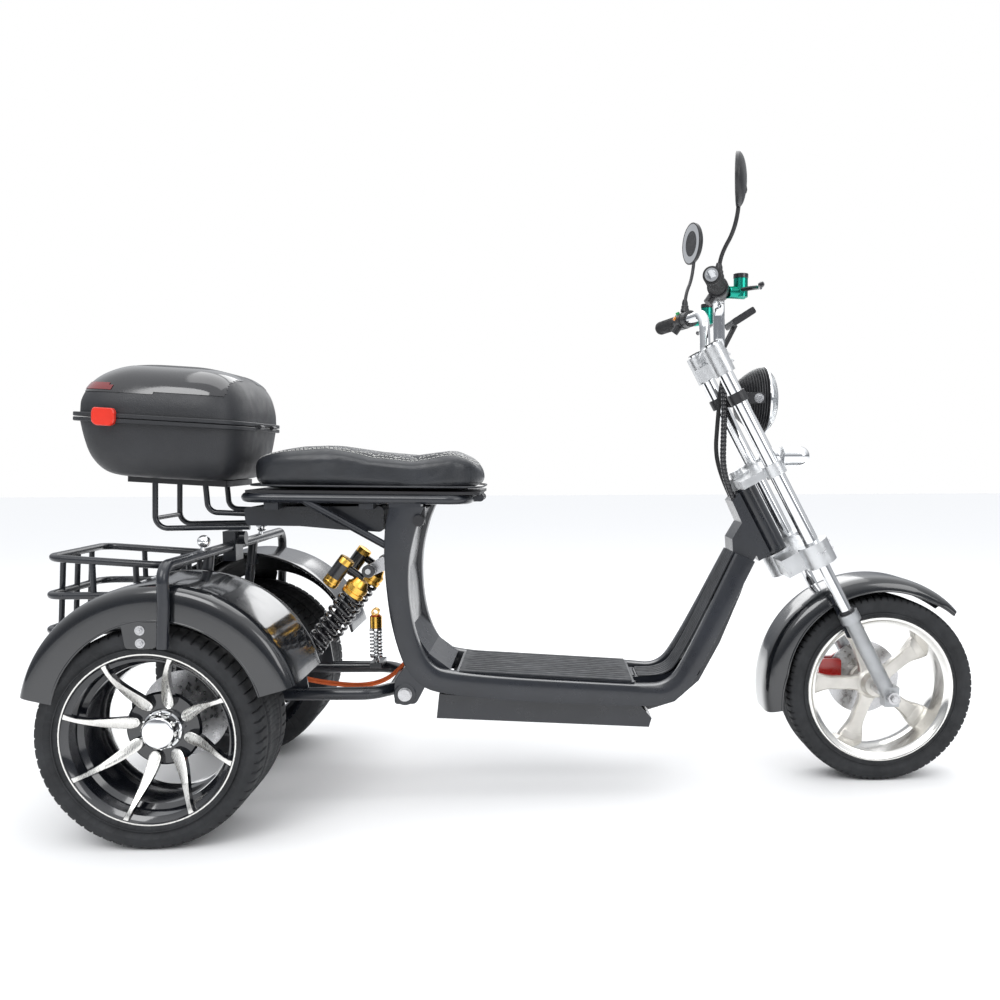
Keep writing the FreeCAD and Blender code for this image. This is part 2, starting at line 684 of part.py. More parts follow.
def seat_rail():
    """Loop under the seat, a cross plate, struts to the rails and hinge ears."""
    r = seat_rail_radius
    h = seat_rail_half
    rear_z = seat_base_z - r - 0.4
    z = rear_z - pan_fall
    loop = loop_tube([V(112, h, rear_z), V(112, -h, rear_z), V(590, -h, z), V(590, h, z)], r, 46)
    strut = rod(V(246, h, z), V(418, h - 6, 556), 8)
    foot = box(424, 492, rail_inner, rail_half + rail_width / 2, 640, z)
    parts = [loop, strut, mirrored(strut), foot, mirrored(foot)]
    for y in (-40, 34):
        parts.append(cross_rod(seat_hinge_x, seat_hinge_z, y, y + 6, 8))
        parts.append(box(590, seat_hinge_x, y, y + 6, seat_hinge_z - 8, seat_hinge_z + 3))
    parts.append(cross_rod(seat_hinge_x, seat_hinge_z, -40, 40, 4))
    return fused(parts).cut(left_rail).cut(right_rail)


seat_frame = seat_rail()
under_box = plate([(106, 640), (110, 600), (225, 598), (311, 590), (405, 584), (406, 640)], -90, 90, 10)
box_hollow = plate([(111, 650), (115, 605), (225, 603), (311, 595), (399, 589), (400, 650)], -86, 86, 8)
save("seat_frame", seat_frame)
seat_box = fused([under_box.cut(box_hollow),
                  box(160, 190, -seat_rail_half, seat_rail_half, 636, 656),
                  box(360, 390, -seat_rail_half, seat_rail_half, 636, 652)])
save("under_seat_box", seat_box.cut(seat_frame).cut(left_rail).cut(right_rail))


def seat_base():
    """Stiff pan under the cushion with its hinge knuckle."""
    pan = plate([(seat_rear + 4, seat_base_z), (seat_front - 6, seat_base_z - pan_fall),
                 (seat_front - 6, seat_base_z + 6 - pan_fall), (seat_rear + 4, seat_base_z + 6)],
                -seat_half + 8, seat_half - 8)
    knuckle = cross_rod(seat_hinge_x, seat_hinge_z, -33, 33, 7)
    web = box(seat_hinge_x - 3, seat_hinge_x + 4, -33, 33, seat_hinge_z, seat_base_z - 3)
    bore = cross_rod(seat_hinge_x, seat_hinge_z, -34, 34, 4 + run_clearance)
    return fused([pan, knuckle, web]).cut(bore)


save("seat_base", seat_base())
cushion = plate([(seat_rear, 679), (seat_rear + 8, 735), (seat_rear + 26, 753), (207, 764), (292, 770),
                 (385, 754), (474, 745), (564, 758), (598, 748), (seat_front, 706), (seat_front, 673)],
                -seat_half, seat_half, 12)
pan_top = seat_base_z + 6.3
cushion = cushion.cut(plate([(0, 600), (seat_front + 40, 600), (seat_front + 40, pan_top - pan_fall),
                             (seat_front - 6, pan_top - pan_fall), (seat_rear + 4, pan_top), (0, pan_top)],
                            -seat_half - 9, seat_half + 9))
save("seat_cushion", cushion)

# --- top box ------------------------------------------------------------------


def tilted(shape):
    """Turns a top-box piece nose down about the middle of its split."""
    turned_shape = shape.copy()
    turned_shape.rotate(V((box_front + box_rear) / 2, 0, box_split_z), V(0, 1, 0), box_tilt)
    return turned_shape


def box_shell(levels, inset):
    """Loft of rounded rectangles, each (z, rear x, front x, half width)."""
    wires = []
    for z, x0, x1, half in levels:
        corners = [V(x0 + inset, -half + inset, z), V(x1 - inset, -half + inset, z),
                   V(x1 - inset, half - inset, z), V(x0 + inset, half - inset, z)]
        wires.append(rounded_path(corners, 62 - inset, True))
    return Part.makeLoft(wires, True, True)


base_levels = [(701, -150, 92, 150), (716, -180, 106, 166), (746, -198, 116, 180),
               (box_split_z - 9, -214, 124, 188), (box_split_z - 8, -226, box_front, 200),
               (box_split_z, -226, box_front, 200)]
lid_levels = [(box_split_z + 1, -226, box_front, 200), (box_split_z + 9, -226, box_front, 200),
              (box_split_z + 10, -212, 124, 188), (866, -206, 120, 184), (905, -178, 108, 166),
              (930, -140, 84, 138), (943, -80, 40, 90)]


def top_box_base():
    """Hollow lower half on its mounting plate."""
    outer = box_shell(base_levels, 0)
    inner_levels = [(704, -146, 88, 146)] + base_levels[1:4] + [(box_split_z + 1, -214, 124, 188)]
    inner = box_shell(inner_levels, wall)
    foot = box(-130, 80, -90, 90, 691, 702)
    ears = [box(box_front - 6, box_front + 10, y, y + 6, box_split_z - 8, box_split_z + 5)
            for y in (-60, -34, 28, 54)]
    pin = cross_rod(box_front + 5, box_split_z + 1, -60, 60, 2)
    return tilted(fused([outer.cut(inner), foot] + ears + [pin]))


def top_box_lid():
    """Hollow lid with hinge knuckles at its front edge."""
    outer = box_shell(lid_levels, 0)
    inner_levels = [(box_split_z, -214, 124, 188)] + lid_levels[2:]
    inner_levels[-1] = (lid_levels[-1][0] - wall, -76, 36, 86)
    inner = box_shell(inner_levels, wall)
    parts = [outer.cut(inner)]
    gaps = []
    for y in (-53.5, 34.5):
        parts.append(cross_rod(box_front + 5, box_split_z + 1, y, y + 19, 4.5))
        parts.append(box(box_front - 6, box_front + 5, y, y + 19, box_split_z + 1, box_split_z + 5.5))
    for y in (-60, -34, 28, 54):
        gaps.append(box(box_front - 7, box_front + 11, y - 0.5, y + 6.5, box_split_z - 8, box_split_z + 6))
    gaps.append(cross_rod(box_front + 5, box_split_z + 1, -61, 61, 2 + run_clearance))
    return tilted(fused(parts).cut(fused(gaps)))


save("top_box_base", top_box_base())
save("top_box_lid", top_box_lid())


def box_rack():
    """Two bent tubes and a plate that carry the top box."""
    parts = []
    for side in (1, -1):
        y = side * rack_half
        parts.append(tube([V(-87, y, 694), V(-91, y, rack_bend_z), V(60, y, rack_bend_z + 2),
                           V(112, y, rack_bend_z + 2)], rack_radius, 26))
        parts.append(tube([V(20, y, 690), V(24, y, 628), V(112, y, 624)], rack_radius, 22))
    parts.append(cross_rod(-91, rack_bend_z + 22, -rack_half, rack_half, rack_radius - 1))
    return fused(parts)


rack = box_rack().cut(top_box_base()).cut(seat_box)
save("box_rack", rack)

# --- rear axle, swing arm and shocks ---------------------------------------------


def rear_axle():
    """Axle beam with the motor and gear case, stub axles and brake calipers."""
    end = rear_disc_y - 12
    parts = [cross_rod(0, axle_z, -end, end, axle_beam_radius),
             cross_rod(0, axle_z, -56, 56, 72), cross_rod(66, axle_z + 26, -4, 92, 46)]
    for side in (1, -1):
        parts.append(rod(V(0, side * end, axle_z), V(0, side * (hub_face + 10), axle_z), stub_radius))
        y = side * (rear_disc_y + 2)
        block = box(-104, -62, y - 17, y + 17, axle_z - 26, axle_z + 26)
        slot = box(-94, -40, y - 8, y + 8, axle_z - 40, axle_z + 40)
        arm = box(-104, 0, *sorted((side * (end - 8), side * (end - 1))), axle_z - 14, axle_z + 14)
        parts.append(block.cut(slot))
        parts.append(arm)
    return fused(parts)


axle = rear_axle()
save("rear_axle", axle)


def swing_arm():
    """Two tubes from the frame's pivots back to the axle, with shock brackets."""
    parts = []
    for side in (1, -1):
        y = side * swing_half
        inner_y = side * swing_inner
        parts.append(tube([V(0, y, axle_z + 6), V(90, y, 240), V(380, y, 238),
                           V(swing_pivot_x - 30, inner_y, 237)], 14, 60))
        parts.append(cross_rod(swing_pivot_x - 30, 237, *sorted((0, inner_y)), 14))
        parts.append(plate([(swing_pivot_x - 36, 224), (swing_pivot_x, 224), (swing_pivot_x, 250),
                            (swing_pivot_x - 36, 250)], *sorted((inner_y - side * 7.8, inner_y + side * 7.8))))
        parts.append(plate([(196, 244), (244, 244), (236, 302), (208, 302)],
                           *sorted((side * (swing_half - 9), side * (swing_half - 3)))))
    body = fused(parts)
    bolt_gap = cross_rod(swing_pivot_x, swing_pivot_z, -200, 200, 8)
    return body.cut(axle).cut(left_rail).cut(right_rail).cut(bolt_gap)


arm = swing_arm()
save("swing_arm", arm)
pivot_bolt = fused([cross_rod(swing_pivot_x, swing_pivot_z, -rail_half - 24, rail_half + 24, 8),
                    cross_rod(swing_pivot_x, swing_pivot_z, rail_half + 20, rail_half + 28, 13),
                    cross_rod(swing_pivot_x, swing_pivot_z, -rail_half - 28, -rail_half - 20, 13),
                    cross_rod(swing_pivot_x, swing_pivot_z, rail_half - rail_width / 2, rail_half + 20, 15),
                    cross_rod(swing_pivot_x, swing_pivot_z, -rail_half - 20, rail_width / 2 - rail_half, 15)])
pivot_bolt = pivot_bolt.cut(left_rail).cut(right_rail)


def shock():
    """Left shock: eyes, rod, coil sleeve and side reservoir."""
    y = swing_half - 26
    top = V(374, y, 501)
    bottom = V(220, y, 294)
    run = (top - bottom).normalize()
    parts = [cross_rod(top.x, top.z, y - 12, y + 13, 14), cross_rod(bottom.x, bottom.z, y - 12, y + 17, 13),
             rod(bottom + run * 4, top - run * 4, 10), rod(bottom + run * 34, top - run * 34, 25)]
    across = V(-run.z, 0, run.x)
    can = rod(top + across * 52 - run * 76, top + across * 52 - run * 4, 17)
    neck = rod(top - run * 22, top + across * 52 - run * 22, 9)
    return fused(parts + [can, neck]).cut(cross_rod(top.x, top.z, y - 24, y + 26, 6)).cut(arm)


left_shock = shock()
save("rear_shocks", solids(left_shock, mirrored(left_shock)))
shock_mount = fused([cross_rod(374, 501, -118, 118, 6), cross_rod(374, 501, -90, 90, 11),
                     plate([(366, 490), (382, 490), (430, 510), (430, 540), (368, 512)], 80, 88),
                     plate([(366, 490), (382, 490), (430, 510), (430, 540), (368, 512)], -88, -80)])
shock_mount = shock_mount.cut(left_rail).cut(right_rail).cut(post_solid)
save("frame_pins", solids(pivot_bolt, shock_mount.cut(left_shock).cut(mirrored(left_shock))))
damper_parts = [rod(V(357, 64, 262), V(357, 64, 393), 8), rod(V(357, 64, 276), V(357, 64, 330), 15),
                rod(V(357, 64, 330), V(357, 64, 372), 17), cross_rod(357, 393, 54, 74, 9)]
damper_foot = box(343, 371, 50, swing_half - 8, 252, 264)
save("small_damper", fused(damper_parts + [damper_foot]).cut(arm))

# --- cross beam, rear fenders and basket -------------------------------------------


def rear_fender():
    """Left rear fender: crown, rounded shoulder and outer skirt in one shell."""
    r = fender_radius
    y = fender_side
    skirt = 196.0
    section = [(r - 10, fender_inner), (r, fender_inner), (r, y - 26), (r - 8, y - 8), (r - 26, y),
               (skirt, y), (skirt, y - wall), (r - 27, y - wall), (r - 10, y - 10 - wall / 2),
               (r - wall, y - 28), (r - wall, fender_inner + wall), (r - 10, fender_inner + wall)]
    shell = turned(section, fender_x, fender_z, 0, 15, 153)
    tab = plate([(-30, 392), (32, 392), (44, 446), (-40, 446)], y - wall, y)
    return fused([shell, tab])


fender = rear_fender()


def cross_beam():
    """Beam over both wheels with legs to the fenders outside and to the axle inside."""
    reach = fender_side + hoop_radius
    hoop = tube([V(beam_x - 5, -reach, 396), V(beam_x, -reach, 476), V(beam_x, -reach, beam_z),
                 V(beam_x, reach, beam_z), V(beam_x, reach, 476), V(beam_x - 5, reach, 396)],
                hoop_radius, 30)
    parts = [hoop]
    for side in (1, -1):
        y = side * (fender_inner - hoop_radius - 2)
        parts.append(rod(V(beam_x, y, beam_z), V(6, y, axle_z), hoop_radius))
        lug_y = sorted((y, side * (fender_inner + 6)))
        parts.append(box(beam_x - 16, beam_x + 4, *lug_y, 488, 506))
    parts.append(box(beam_x - 14, beam_x + 14, -26, 26, beam_z - 32, beam_z + 34))
    parts.append(rod(V(beam_x + 14, 0, beam_z + 18), V(beam_x + 30, 0, beam_z + 18), 15))
    return fused(parts).cut(axle).cut(fender).cut(mirrored(fender)).cut(arm)


beam = cross_beam()
save("cross_beam", beam)
save("rear_fender_left", fender)
save("rear_fender_right", mirrored(fender))


def rear_signal():
    """Left bullet signal standing on the cross beam."""
    ball = Part.makeSphere(13, V(beam_x + 6, 200, beam_z + 28))
    post = rod(V(beam_x, 200, beam_z), V(beam_x + 6, 200, beam_z + 24), 5)
    return fused([ball, post]).cut(beam)


left_rear_signal = rear_signal()
save("rear_signals", solids(left_rear_signal, mirrored(left_rear_signal)))


def rear_basket():
    """Three rail loops with uprights, and a floor, hung behind the cross beam."""
    parts = []
    b = basket_half
    front = beam_x - 100
    for height, back, slope in ((537, -292, 18), (456, -300, 0), (381, basket_rail - rear_overhang, 0)):
        parts.append(loop_tube([V(front, b, height - slope), V(front, -b, height - slope),
                                V(back, -b, height), V(back, b, height)], basket_rail, 30))
    for x, y in ((-200, b), (-110, b), (-200, -b), (-110, -b)):
        parts.append(rod(V(x, y, 381), V(x, y, 530), 6))
    for y in (-66, 0, 66):
        parts.append(rod(V(basket_rail - rear_overhang, y, 381), V(-292, y, 537), 6))
        parts.append(rod(V(front, y, 381), V(front, y, 519), 6))
        parts.append(rod(V(basket_rail - rear_overhang, y, 381), V(front, y, 381), 6))
    for y in (-b + 24, b - 24):
        parts.append(tube([V(front, y, 500), V(front + 40, y, 530), V(beam_x, y, beam_z - 4)], 7, 30))
    return fused(parts).cut(beam)


save("rear_basket", rear_basket())

# --- cables and lock -----------------------------------------------------------------


def cable(points, radius, start_x=0.0):
    """Cable held at both ends, as straight runs joined by the largest arcs that fit."""
    return tube([V(start_x + x, y, z) for x, y, z in points], radius, 400)


front_hose = cable([(212, 30, 966), (200, 30, 900), (194, 32, 822), (190, 34, 752), (206, 34, 696),
                    (232, 34, 640), (244, 34, 600)], 5, slope_x)
harness = cable([(192, -30, 936), (198, -30, 870), (196, -34, 790), (194, -36, 722), (212, -34, 664),
                 (246, -30, 600)], 7, slope_x)
save("steering_cables", solids(front_hose.cut(head).cut(upper_yoke).cut(handlebar).cut(middle_clamp),
                               harness.cut(head).cut(upper_yoke).cut(middle_clamp)))
phase = cable([(104, 30, 262), (170, 40, 236), (250, 60, 214), (330, 66, 206), (390, 56, 226), (440, 50, 280)], 6)
save("motor_cables", phase.cut(axle).cut(post_solid).cut(arm))
lock = fused([cross_rod(488, 612, -150, -126, 12), box(476, 500, -134, -126, 604, 640)])
save("seat_lock", lock.cut(left_rail).cut(right_rail).cut(seat_frame))
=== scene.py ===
"""Looks of an electric three-wheel scooter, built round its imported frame.

Shapes are worked out in millimetres forward of the rear axle (x), to the left (y) and
above the ground (z), and placed in the frame in metres by mesh().
"""
import math

import bmesh
import bpy
import numpy as np
from mathutils import Matrix, Vector
from mathutils.bvhtree import BVHTree


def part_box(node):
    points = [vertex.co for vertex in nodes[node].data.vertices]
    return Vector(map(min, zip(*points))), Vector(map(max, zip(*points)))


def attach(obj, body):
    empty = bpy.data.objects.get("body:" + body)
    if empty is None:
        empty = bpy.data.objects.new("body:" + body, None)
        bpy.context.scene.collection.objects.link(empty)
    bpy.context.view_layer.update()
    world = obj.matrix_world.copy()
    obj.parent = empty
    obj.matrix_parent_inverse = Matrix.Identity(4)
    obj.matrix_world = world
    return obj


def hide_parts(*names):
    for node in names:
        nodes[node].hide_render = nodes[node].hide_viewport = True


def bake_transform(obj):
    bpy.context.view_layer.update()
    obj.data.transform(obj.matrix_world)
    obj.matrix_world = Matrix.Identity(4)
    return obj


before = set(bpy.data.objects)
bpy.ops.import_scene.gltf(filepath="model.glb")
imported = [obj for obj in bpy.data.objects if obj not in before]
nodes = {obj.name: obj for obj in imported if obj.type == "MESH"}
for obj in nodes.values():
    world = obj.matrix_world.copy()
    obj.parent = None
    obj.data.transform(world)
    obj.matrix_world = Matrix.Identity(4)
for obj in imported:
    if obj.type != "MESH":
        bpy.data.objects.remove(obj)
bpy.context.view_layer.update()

TURN = 2 * math.pi
rear_tyre_low, rear_tyre_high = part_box("rear_tyre_left")
front_tyre_low, front_tyre_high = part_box("front_tyre")
rear_x = (rear_tyre_low[0] + rear_tyre_high[0]) / 2
axle_z = (rear_tyre_low[2] + rear_tyre_high[2]) * 500
front_x = ((front_tyre_low[0] + front_tyre_high[0]) / 2 - rear_x) * 1000
tyre_radius = (rear_tyre_high[2] - rear_tyre_low[2]) * 500
rake = math.radians(27.9)
up = np.array([-math.sin(rake), 0, math.cos(rake)])
ahead = np.array([math.cos(rake), 0, math.sin(rake)])
fork_half = 107.0


def fork_point(s, n=0.0, y=0.0):
    """Point s along the fork from the front axle, n ahead of the tubes, y to the left."""
    return np.array([front_x, y, axle_z]) + up * s + ahead * n


# --- meshes ------------------------------------------------------------------

weld_gap = 2e-6                 # metres
crease = math.radians(38)


def mesh(name, parts, finish, body, replaces=()):
    """One object from (points, faces) parts, with doubles merged and faces turned outwards.
    """
    points, faces, offset = [], [], 0
    for part_points, part_faces in parts:
        part_points = np.asarray(part_points, float).reshape(-1, 3)
        points.append(part_points)
        faces.extend([[i + offset for i in face] for face in part_faces])
        offset += len(part_points)
    points = np.concatenate(points) / 1000 + np.array([rear_x, 0, 0])
    data = bpy.data.meshes.new(name)
    data.from_pydata(points.tolist(), [], faces)
    data.update()
    work = bmesh.new()
    work.from_mesh(data)
    bmesh.ops.remove_doubles(work, verts=work.verts, dist=weld_gap)
    bmesh.ops.dissolve_degenerate(work, edges=work.edges, dist=weld_gap / 2)
    bmesh.ops.recalc_face_normals(work, faces=work.faces)
    work.to_mesh(data)
    work.free()
    piece = bpy.data.objects.new(name, data)
    bpy.context.scene.collection.objects.link(piece)
    data.materials.append(finish)
    data.shade_smooth()
    data.set_sharp_from_angle(angle=crease)
    if body:
        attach(piece, body)
    if replaces:
        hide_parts(*replaces)
    return piece


def quads(rows, columns, wrap_rows=False, wrap_columns=False):
    """Faces of a grid of points, wrapped where its ends meet."""
    r = np.arange(rows if wrap_rows else rows - 1)[:, None]
    c = np.arange(columns if wrap_columns else columns - 1)[None, :]
    r1 = (r + 1) % rows
    c1 = (c + 1) % columns
    corners = [r * columns + c, r * columns + c1, r1 * columns + c1, r1 * columns + c]
    return np.stack([k + 0 * (r + c) for k in corners], -1).reshape(-1, 4).tolist()


def lathe(profile, centre, axis=(0, 1, 0), steps=96, closed=False):
    """Profile of (radius, distance along the axis) turned about the axis through centre."""
    profile = np.asarray(profile, float)
    axis = np.asarray(axis, float) / np.linalg.norm(axis)
    helper = np.array([0, 0, 1.0]) if abs(axis[2]) < 0.9 else np.array([1.0, 0, 0])
    side = np.cross(axis, helper)
    side /= np.linalg.norm(side)
    other = np.cross(axis, side)
    angle = np.arange(steps) / steps * TURN
    spoke = np.cos(angle)[:, None] * side + np.sin(angle)[:, None] * other
    points = (np.asarray(centre, float) + spoke[:, None, :] * profile[None, :, :1]
              + axis * profile[None, :, 1:])
    return points, quads(steps, len(profile), True, closed)


def smooth_path(points, rounds=3, closed=False):
    """Corner cutting: each run keeps its middle, so the path nears a quadratic B-spline."""
    path = np.asarray(points, float)
    for _ in range(rounds):
        following = np.roll(path, -1, 0) if closed else path[1:]
        here = path if closed else path[:-1]
        cut = np.stack([here * 0.75 + following * 0.25, here * 0.25 + following * 0.75], 1)
        cut = cut.reshape(-1, path.shape[1])
        path = cut if closed else np.concatenate([path[:1], cut, path[-1:]])
    return path


def carry(path, section, closed=False, lean=(0, 0, 1), scale=None):
    """Section of (across, up) points carried square to a path; its ends are closed."""
    path = np.asarray(path, float)
    section = np.asarray(section, float)
    if closed:
        along = np.roll(path, -1, 0) - np.roll(path, 1, 0)
    else:
        along = np.gradient(path, axis=0)
    along /= np.linalg.norm(along, axis=1)[:, None]
    across = np.cross(along, np.asarray(lean, float))
    across /= np.linalg.norm(across, axis=1)[:, None]
    over = np.cross(across, along)
    size = np.ones(len(path)) if scale is None else np.asarray(scale, float)
    points = (path[:, None] + size[:, None, None] * (across[:, None] * section[None, :, :1]
              + over[:, None] * section[None, :, 1:]))
    faces = quads(len(path), len(section), closed, True)
    if not closed:
        count = len(section)
        last = (len(path) - 1) * count
        faces.append(list(range(count)))
        faces.append([last + k for k in reversed(range(count))])
    return points, faces


def ring(radius, count=16):
    """Round section."""
    angle = np.arange(count) / count * TURN
    return np.stack([np.cos(angle) * radius, np.sin(angle) * radius], 1)


def bar(points, radius, count):
    """Round bar along a smoothed path."""
    return carry(smooth_path(points), ring(radius, count))


def rod(start, end, radius, count=24, edge=0.6):
    """Straight round bar with eased ends."""
    start = np.asarray(start, float)
    run = np.asarray(end, float) - start
    length = np.linalg.norm(run)
    profile = [(0, 0), (radius - edge, 0), (radius, edge), (radius, length - edge),
               (radius - edge, length), (0, length)]
    return lathe(profile, start, run, count)


def slab(outline, y0, y1, edge=1.0):
    """Side outline of (x, z) points between two planes, its rims eased by drawing them in."""
    outline = np.asarray(outline, float)
    middle = outline.mean(0)
    reach = np.linalg.norm(outline - middle, axis=1)[:, None]
    inner = middle + (outline - middle) * (1 - edge / reach)
    low, high = min(y0, y1), max(y0, y1)
    levels = [(inner, low), (outline, low + edge), (outline, high - edge), (inner, high)]
    points = np.concatenate([np.stack([o[:, 0], np.full(len(o), y), o[:, 1]], 1) for o, y in levels])
    count = len(outline)
    faces = quads(4, count, False, True)
    faces.append(list(range(count)))
    faces.append([3 * count + k for k in reversed(range(count))])
    return points, faces


def round_corners(outline, radius, steps=5):
    """Closed (x, z) outline with each corner turned into an arc of the radius."""
    outline = np.asarray(outline, float)
    back = np.roll(outline, 1, 0) - outline
    onward = np.roll(outline, -1, 0) - outline
    back_length = np.linalg.norm(back, axis=1)[:, None]
    onward_length = np.linalg.norm(onward, axis=1)[:, None]
    reach = np.minimum(radius, 0.45 * np.minimum(back_length, onward_length))
    t = np.linspace(0, 1, steps)[None, :, None]
    start = (outline + back / back_length * reach)[:, None]
    end = (outline + onward / onward_length * reach)[:, None]
    curve = (1 - t) ** 2 * start + 2 * t * (1 - t) * outline[:, None] + t ** 2 * end
    return curve.reshape(-1, 2)


def mirrored(part):
    """The same part on the other side."""
    points, faces = part
    return np.asarray(points) * np.array([1, -1, 1]), faces


def both(*parts):
    """Parts with their mirror images."""
    return [*parts, *[mirrored(part) for part in parts]]


def turned(part, centre, angle):
    """Part turned about a line along y through centre."""
    points, faces = part
    spin = np.array(Matrix.Rotation(angle, 3, "Y"))
    return (np.asarray(points).reshape(-1, 3) - centre) @ spin.T + centre, faces


def hexagon(centre, axis, radius, height):
    """Bolt head: a six-sided nut with an eased top."""
    profile = [(0, 0), (radius, 0), (radius, height * 0.8), (radius * 0.86, height), (0, height)]
    return lathe(profile, centre, axis, 6)


def bolt(centre, axis, radius, height=5.0):
    """Washer, hex head and stud end."""
    axis = np.asarray(axis, float)
    return [lathe([(0, 0), (radius * 1.5, 0), (radius * 1.5, 1.2), (0, 1.2)], centre, axis, 24),
            hexagon(np.asarray(centre) + axis * 1.2, axis, radius, height),
            lathe([(0, 0), (radius * 0.5, 0), (radius * 0.5, height + 3), (0, height + 3)], centre, axis, 16)]


# --- finishes ----------------------------------------------------------------

class Finish:
    """A node material, built step by step."""

    def __init__(self, name, color, rough, metallic=0.0, coat=0.0, specular=0.5):
        self.material = bpy.data.materials.new(name)
        self.material.use_nodes = True
        self.tree = self.material.node_tree
        self.shader = self.tree.nodes["Principled BSDF"]
        self.color = color
        self.rough = rough
        self.height = None
        self.shader.inputs["Metallic"].default_value = metallic
        self.shader.inputs["Coat Weight"].default_value = coat
        self.shader.inputs["Coat Roughness"].default_value = 0.08
        self.shader.inputs["Specular IOR Level"].default_value = specular
        self.where = self.tree.nodes.new("ShaderNodeTexCoord").outputs["Object"]

    def noise(self, scale, detail=4.0, stretch=(1, 1, 1)):
        """Noise on the piece's own coordinates, stretched to give brushing or streaks."""
        mapping = self.tree.nodes.new("ShaderNodeMapping")
        mapping.inputs["Scale"].default_value = stretch
        self.tree.links.new(self.where, mapping.inputs["Vector"])
        node = self.tree.nodes.new("ShaderNodeTexNoise")
        node.inputs["Scale"].default_value = scale
        node.inputs["Detail"].default_value = detail
        self.tree.links.new(mapping.outputs["Vector"], node.inputs["Vector"])
        return node.outputs["Fac"]

    def cells(self, scale):
        """Cell pattern, for a pebbled grain."""
        node = self.tree.nodes.new("ShaderNodeTexVoronoi")
        node.inputs["Scale"].default_value = scale
        self.tree.links.new(self.where, node.inputs["Vector"])
        return node.outputs["Distance"]

    def ramp(self, value, stops):
        """Colour ramp through (place, colour) stops."""
        node = self.tree.nodes.new("ShaderNodeValToRGB")
        while len(node.color_ramp.elements) < len(stops):
            node.color_ramp.elements.new(0.5)
        for element, (place, color) in zip(node.color_ramp.elements, stops):
            element.position = place
            element.color = (*color, 1)
        self.tree.links.new(value, node.inputs["Fac"])
        return node.outputs["Color"]

    def tone(self, value, spread=0.15, low=0.3, high=0.7):
        """Base colour that drifts a little lighter and darker with the value."""
        dark = [c * (1 - spread) for c in self.color]
        light = [c * (1 + spread) for c in self.color]
        self.tree.links.new(self.ramp(value, [(low, dark), (high, light)]), self.shader.inputs["Base Color"])
        return self

    def gloss(self, value, spread=0.08, low=0.3, high=0.7):
        """Roughness that drifts with the value."""
        a = max(self.rough - spread, 0.02)
        b = self.rough + spread
        self.tree.links.new(self.ramp(value, [(low, (a, a, a)), (high, (b, b, b))]),
                            self.shader.inputs["Roughness"])
        return self

    def bump(self, value, distance, strength=0.5):
        """Height in metres; several are stacked."""
        node = self.tree.nodes.new("ShaderNodeBump")
        node.inputs["Distance"].default_value = distance
        node.inputs["Strength"].default_value = strength
        self.tree.links.new(value, node.inputs["Height"])
        if self.height is not None:
            self.tree.links.new(self.height, node.inputs["Normal"])
        self.height = node.outputs["Normal"]
        self.tree.links.new(self.height, self.shader.inputs["Normal"])
        return self


def paint(name, color, rough, coat):
    """Sprayed paint: slight tone drift, faint orange peel and a clear coat."""
    finish = Finish(name, color, rough, 0.0, coat)
    return finish.tone(finish.noise(9), 0.2).gloss(finish.noise(30), 0.05).bump(
        finish.noise(260, 2), 0.00012, 0.25).material


def bright(name, color, rough, grain=0.00004):
    """Polished or plated metal with faint handling marks."""
    finish = Finish(name, color, rough, 1.0)
    return finish.tone(finish.noise(14), 0.06).gloss(finish.noise(60, 6), 0.04).bump(
        finish.noise(400, 2), grain, 0.2).material


def cast(name, color, rough):
    """Cast and blasted alloy: fine pits and a dull sheen."""
    finish = Finish(name, color, rough, 0.9)
    return finish.tone(finish.noise(22), 0.1).gloss(finish.noise(90), 0.08).bump(
        finish.cells(900), 0.00025, 0.35).bump(finish.noise(160), 0.0002, 0.3).material


def brushed(name, color, rough, stretch=(1, 60, 1)):
    """Machined metal with fine lines along one way."""
    finish = Finish(name, color, rough, 1.0)
    lines = finish.noise(30, 3, stretch)
    return finish.tone(lines, 0.16).gloss(lines, 0.1).bump(lines, 0.00006, 0.3).material


def plastic(name, color, rough, grain, scale=700):
    """Moulded plastic with a spark-eroded grain."""
    finish = Finish(name, color, rough)
    return finish.tone(finish.noise(12), 0.15).gloss(finish.noise(40), 0.06).bump(
        finish.cells(scale), grain, 0.5).material


def rubber(name, color, rough=0.7):
    """Rubber: dull, with a dusty drift of tone and a fine grain."""
    finish = Finish(name, color, rough, 0.0, 0.0, 0.35)
    return finish.tone(finish.noise(18, 6), 0.3).gloss(finish.noise(50), 0.1).bump(
        finish.noise(500, 3), 0.0002, 0.5).material


def vinyl(name, color, rough):
    """Upholstery vinyl: pebbled grain over soft folds."""
    finish = Finish(name, color, rough, 0.0, 0.12)
    return finish.tone(finish.noise(16), 0.2).gloss(finish.noise(70), 0.07).bump(
        finish.noise(26, 3), 0.0012, 0.25).bump(finish.cells(420), 0.0004, 0.45).material


def glass(name, color, rough):
    """Clear moulded lens with a faint ripple."""
    finish = Finish(name, color, rough)
    finish.shader.inputs["Transmission Weight"].default_value = 0.9
    finish.shader.inputs["IOR"].default_value = 1.48
    finish.shader.inputs["Roughness"].default_value = rough
    return finish.tone(finish.noise(8), 0.03).bump(finish.noise(90, 2), 0.0002, 0.2).material


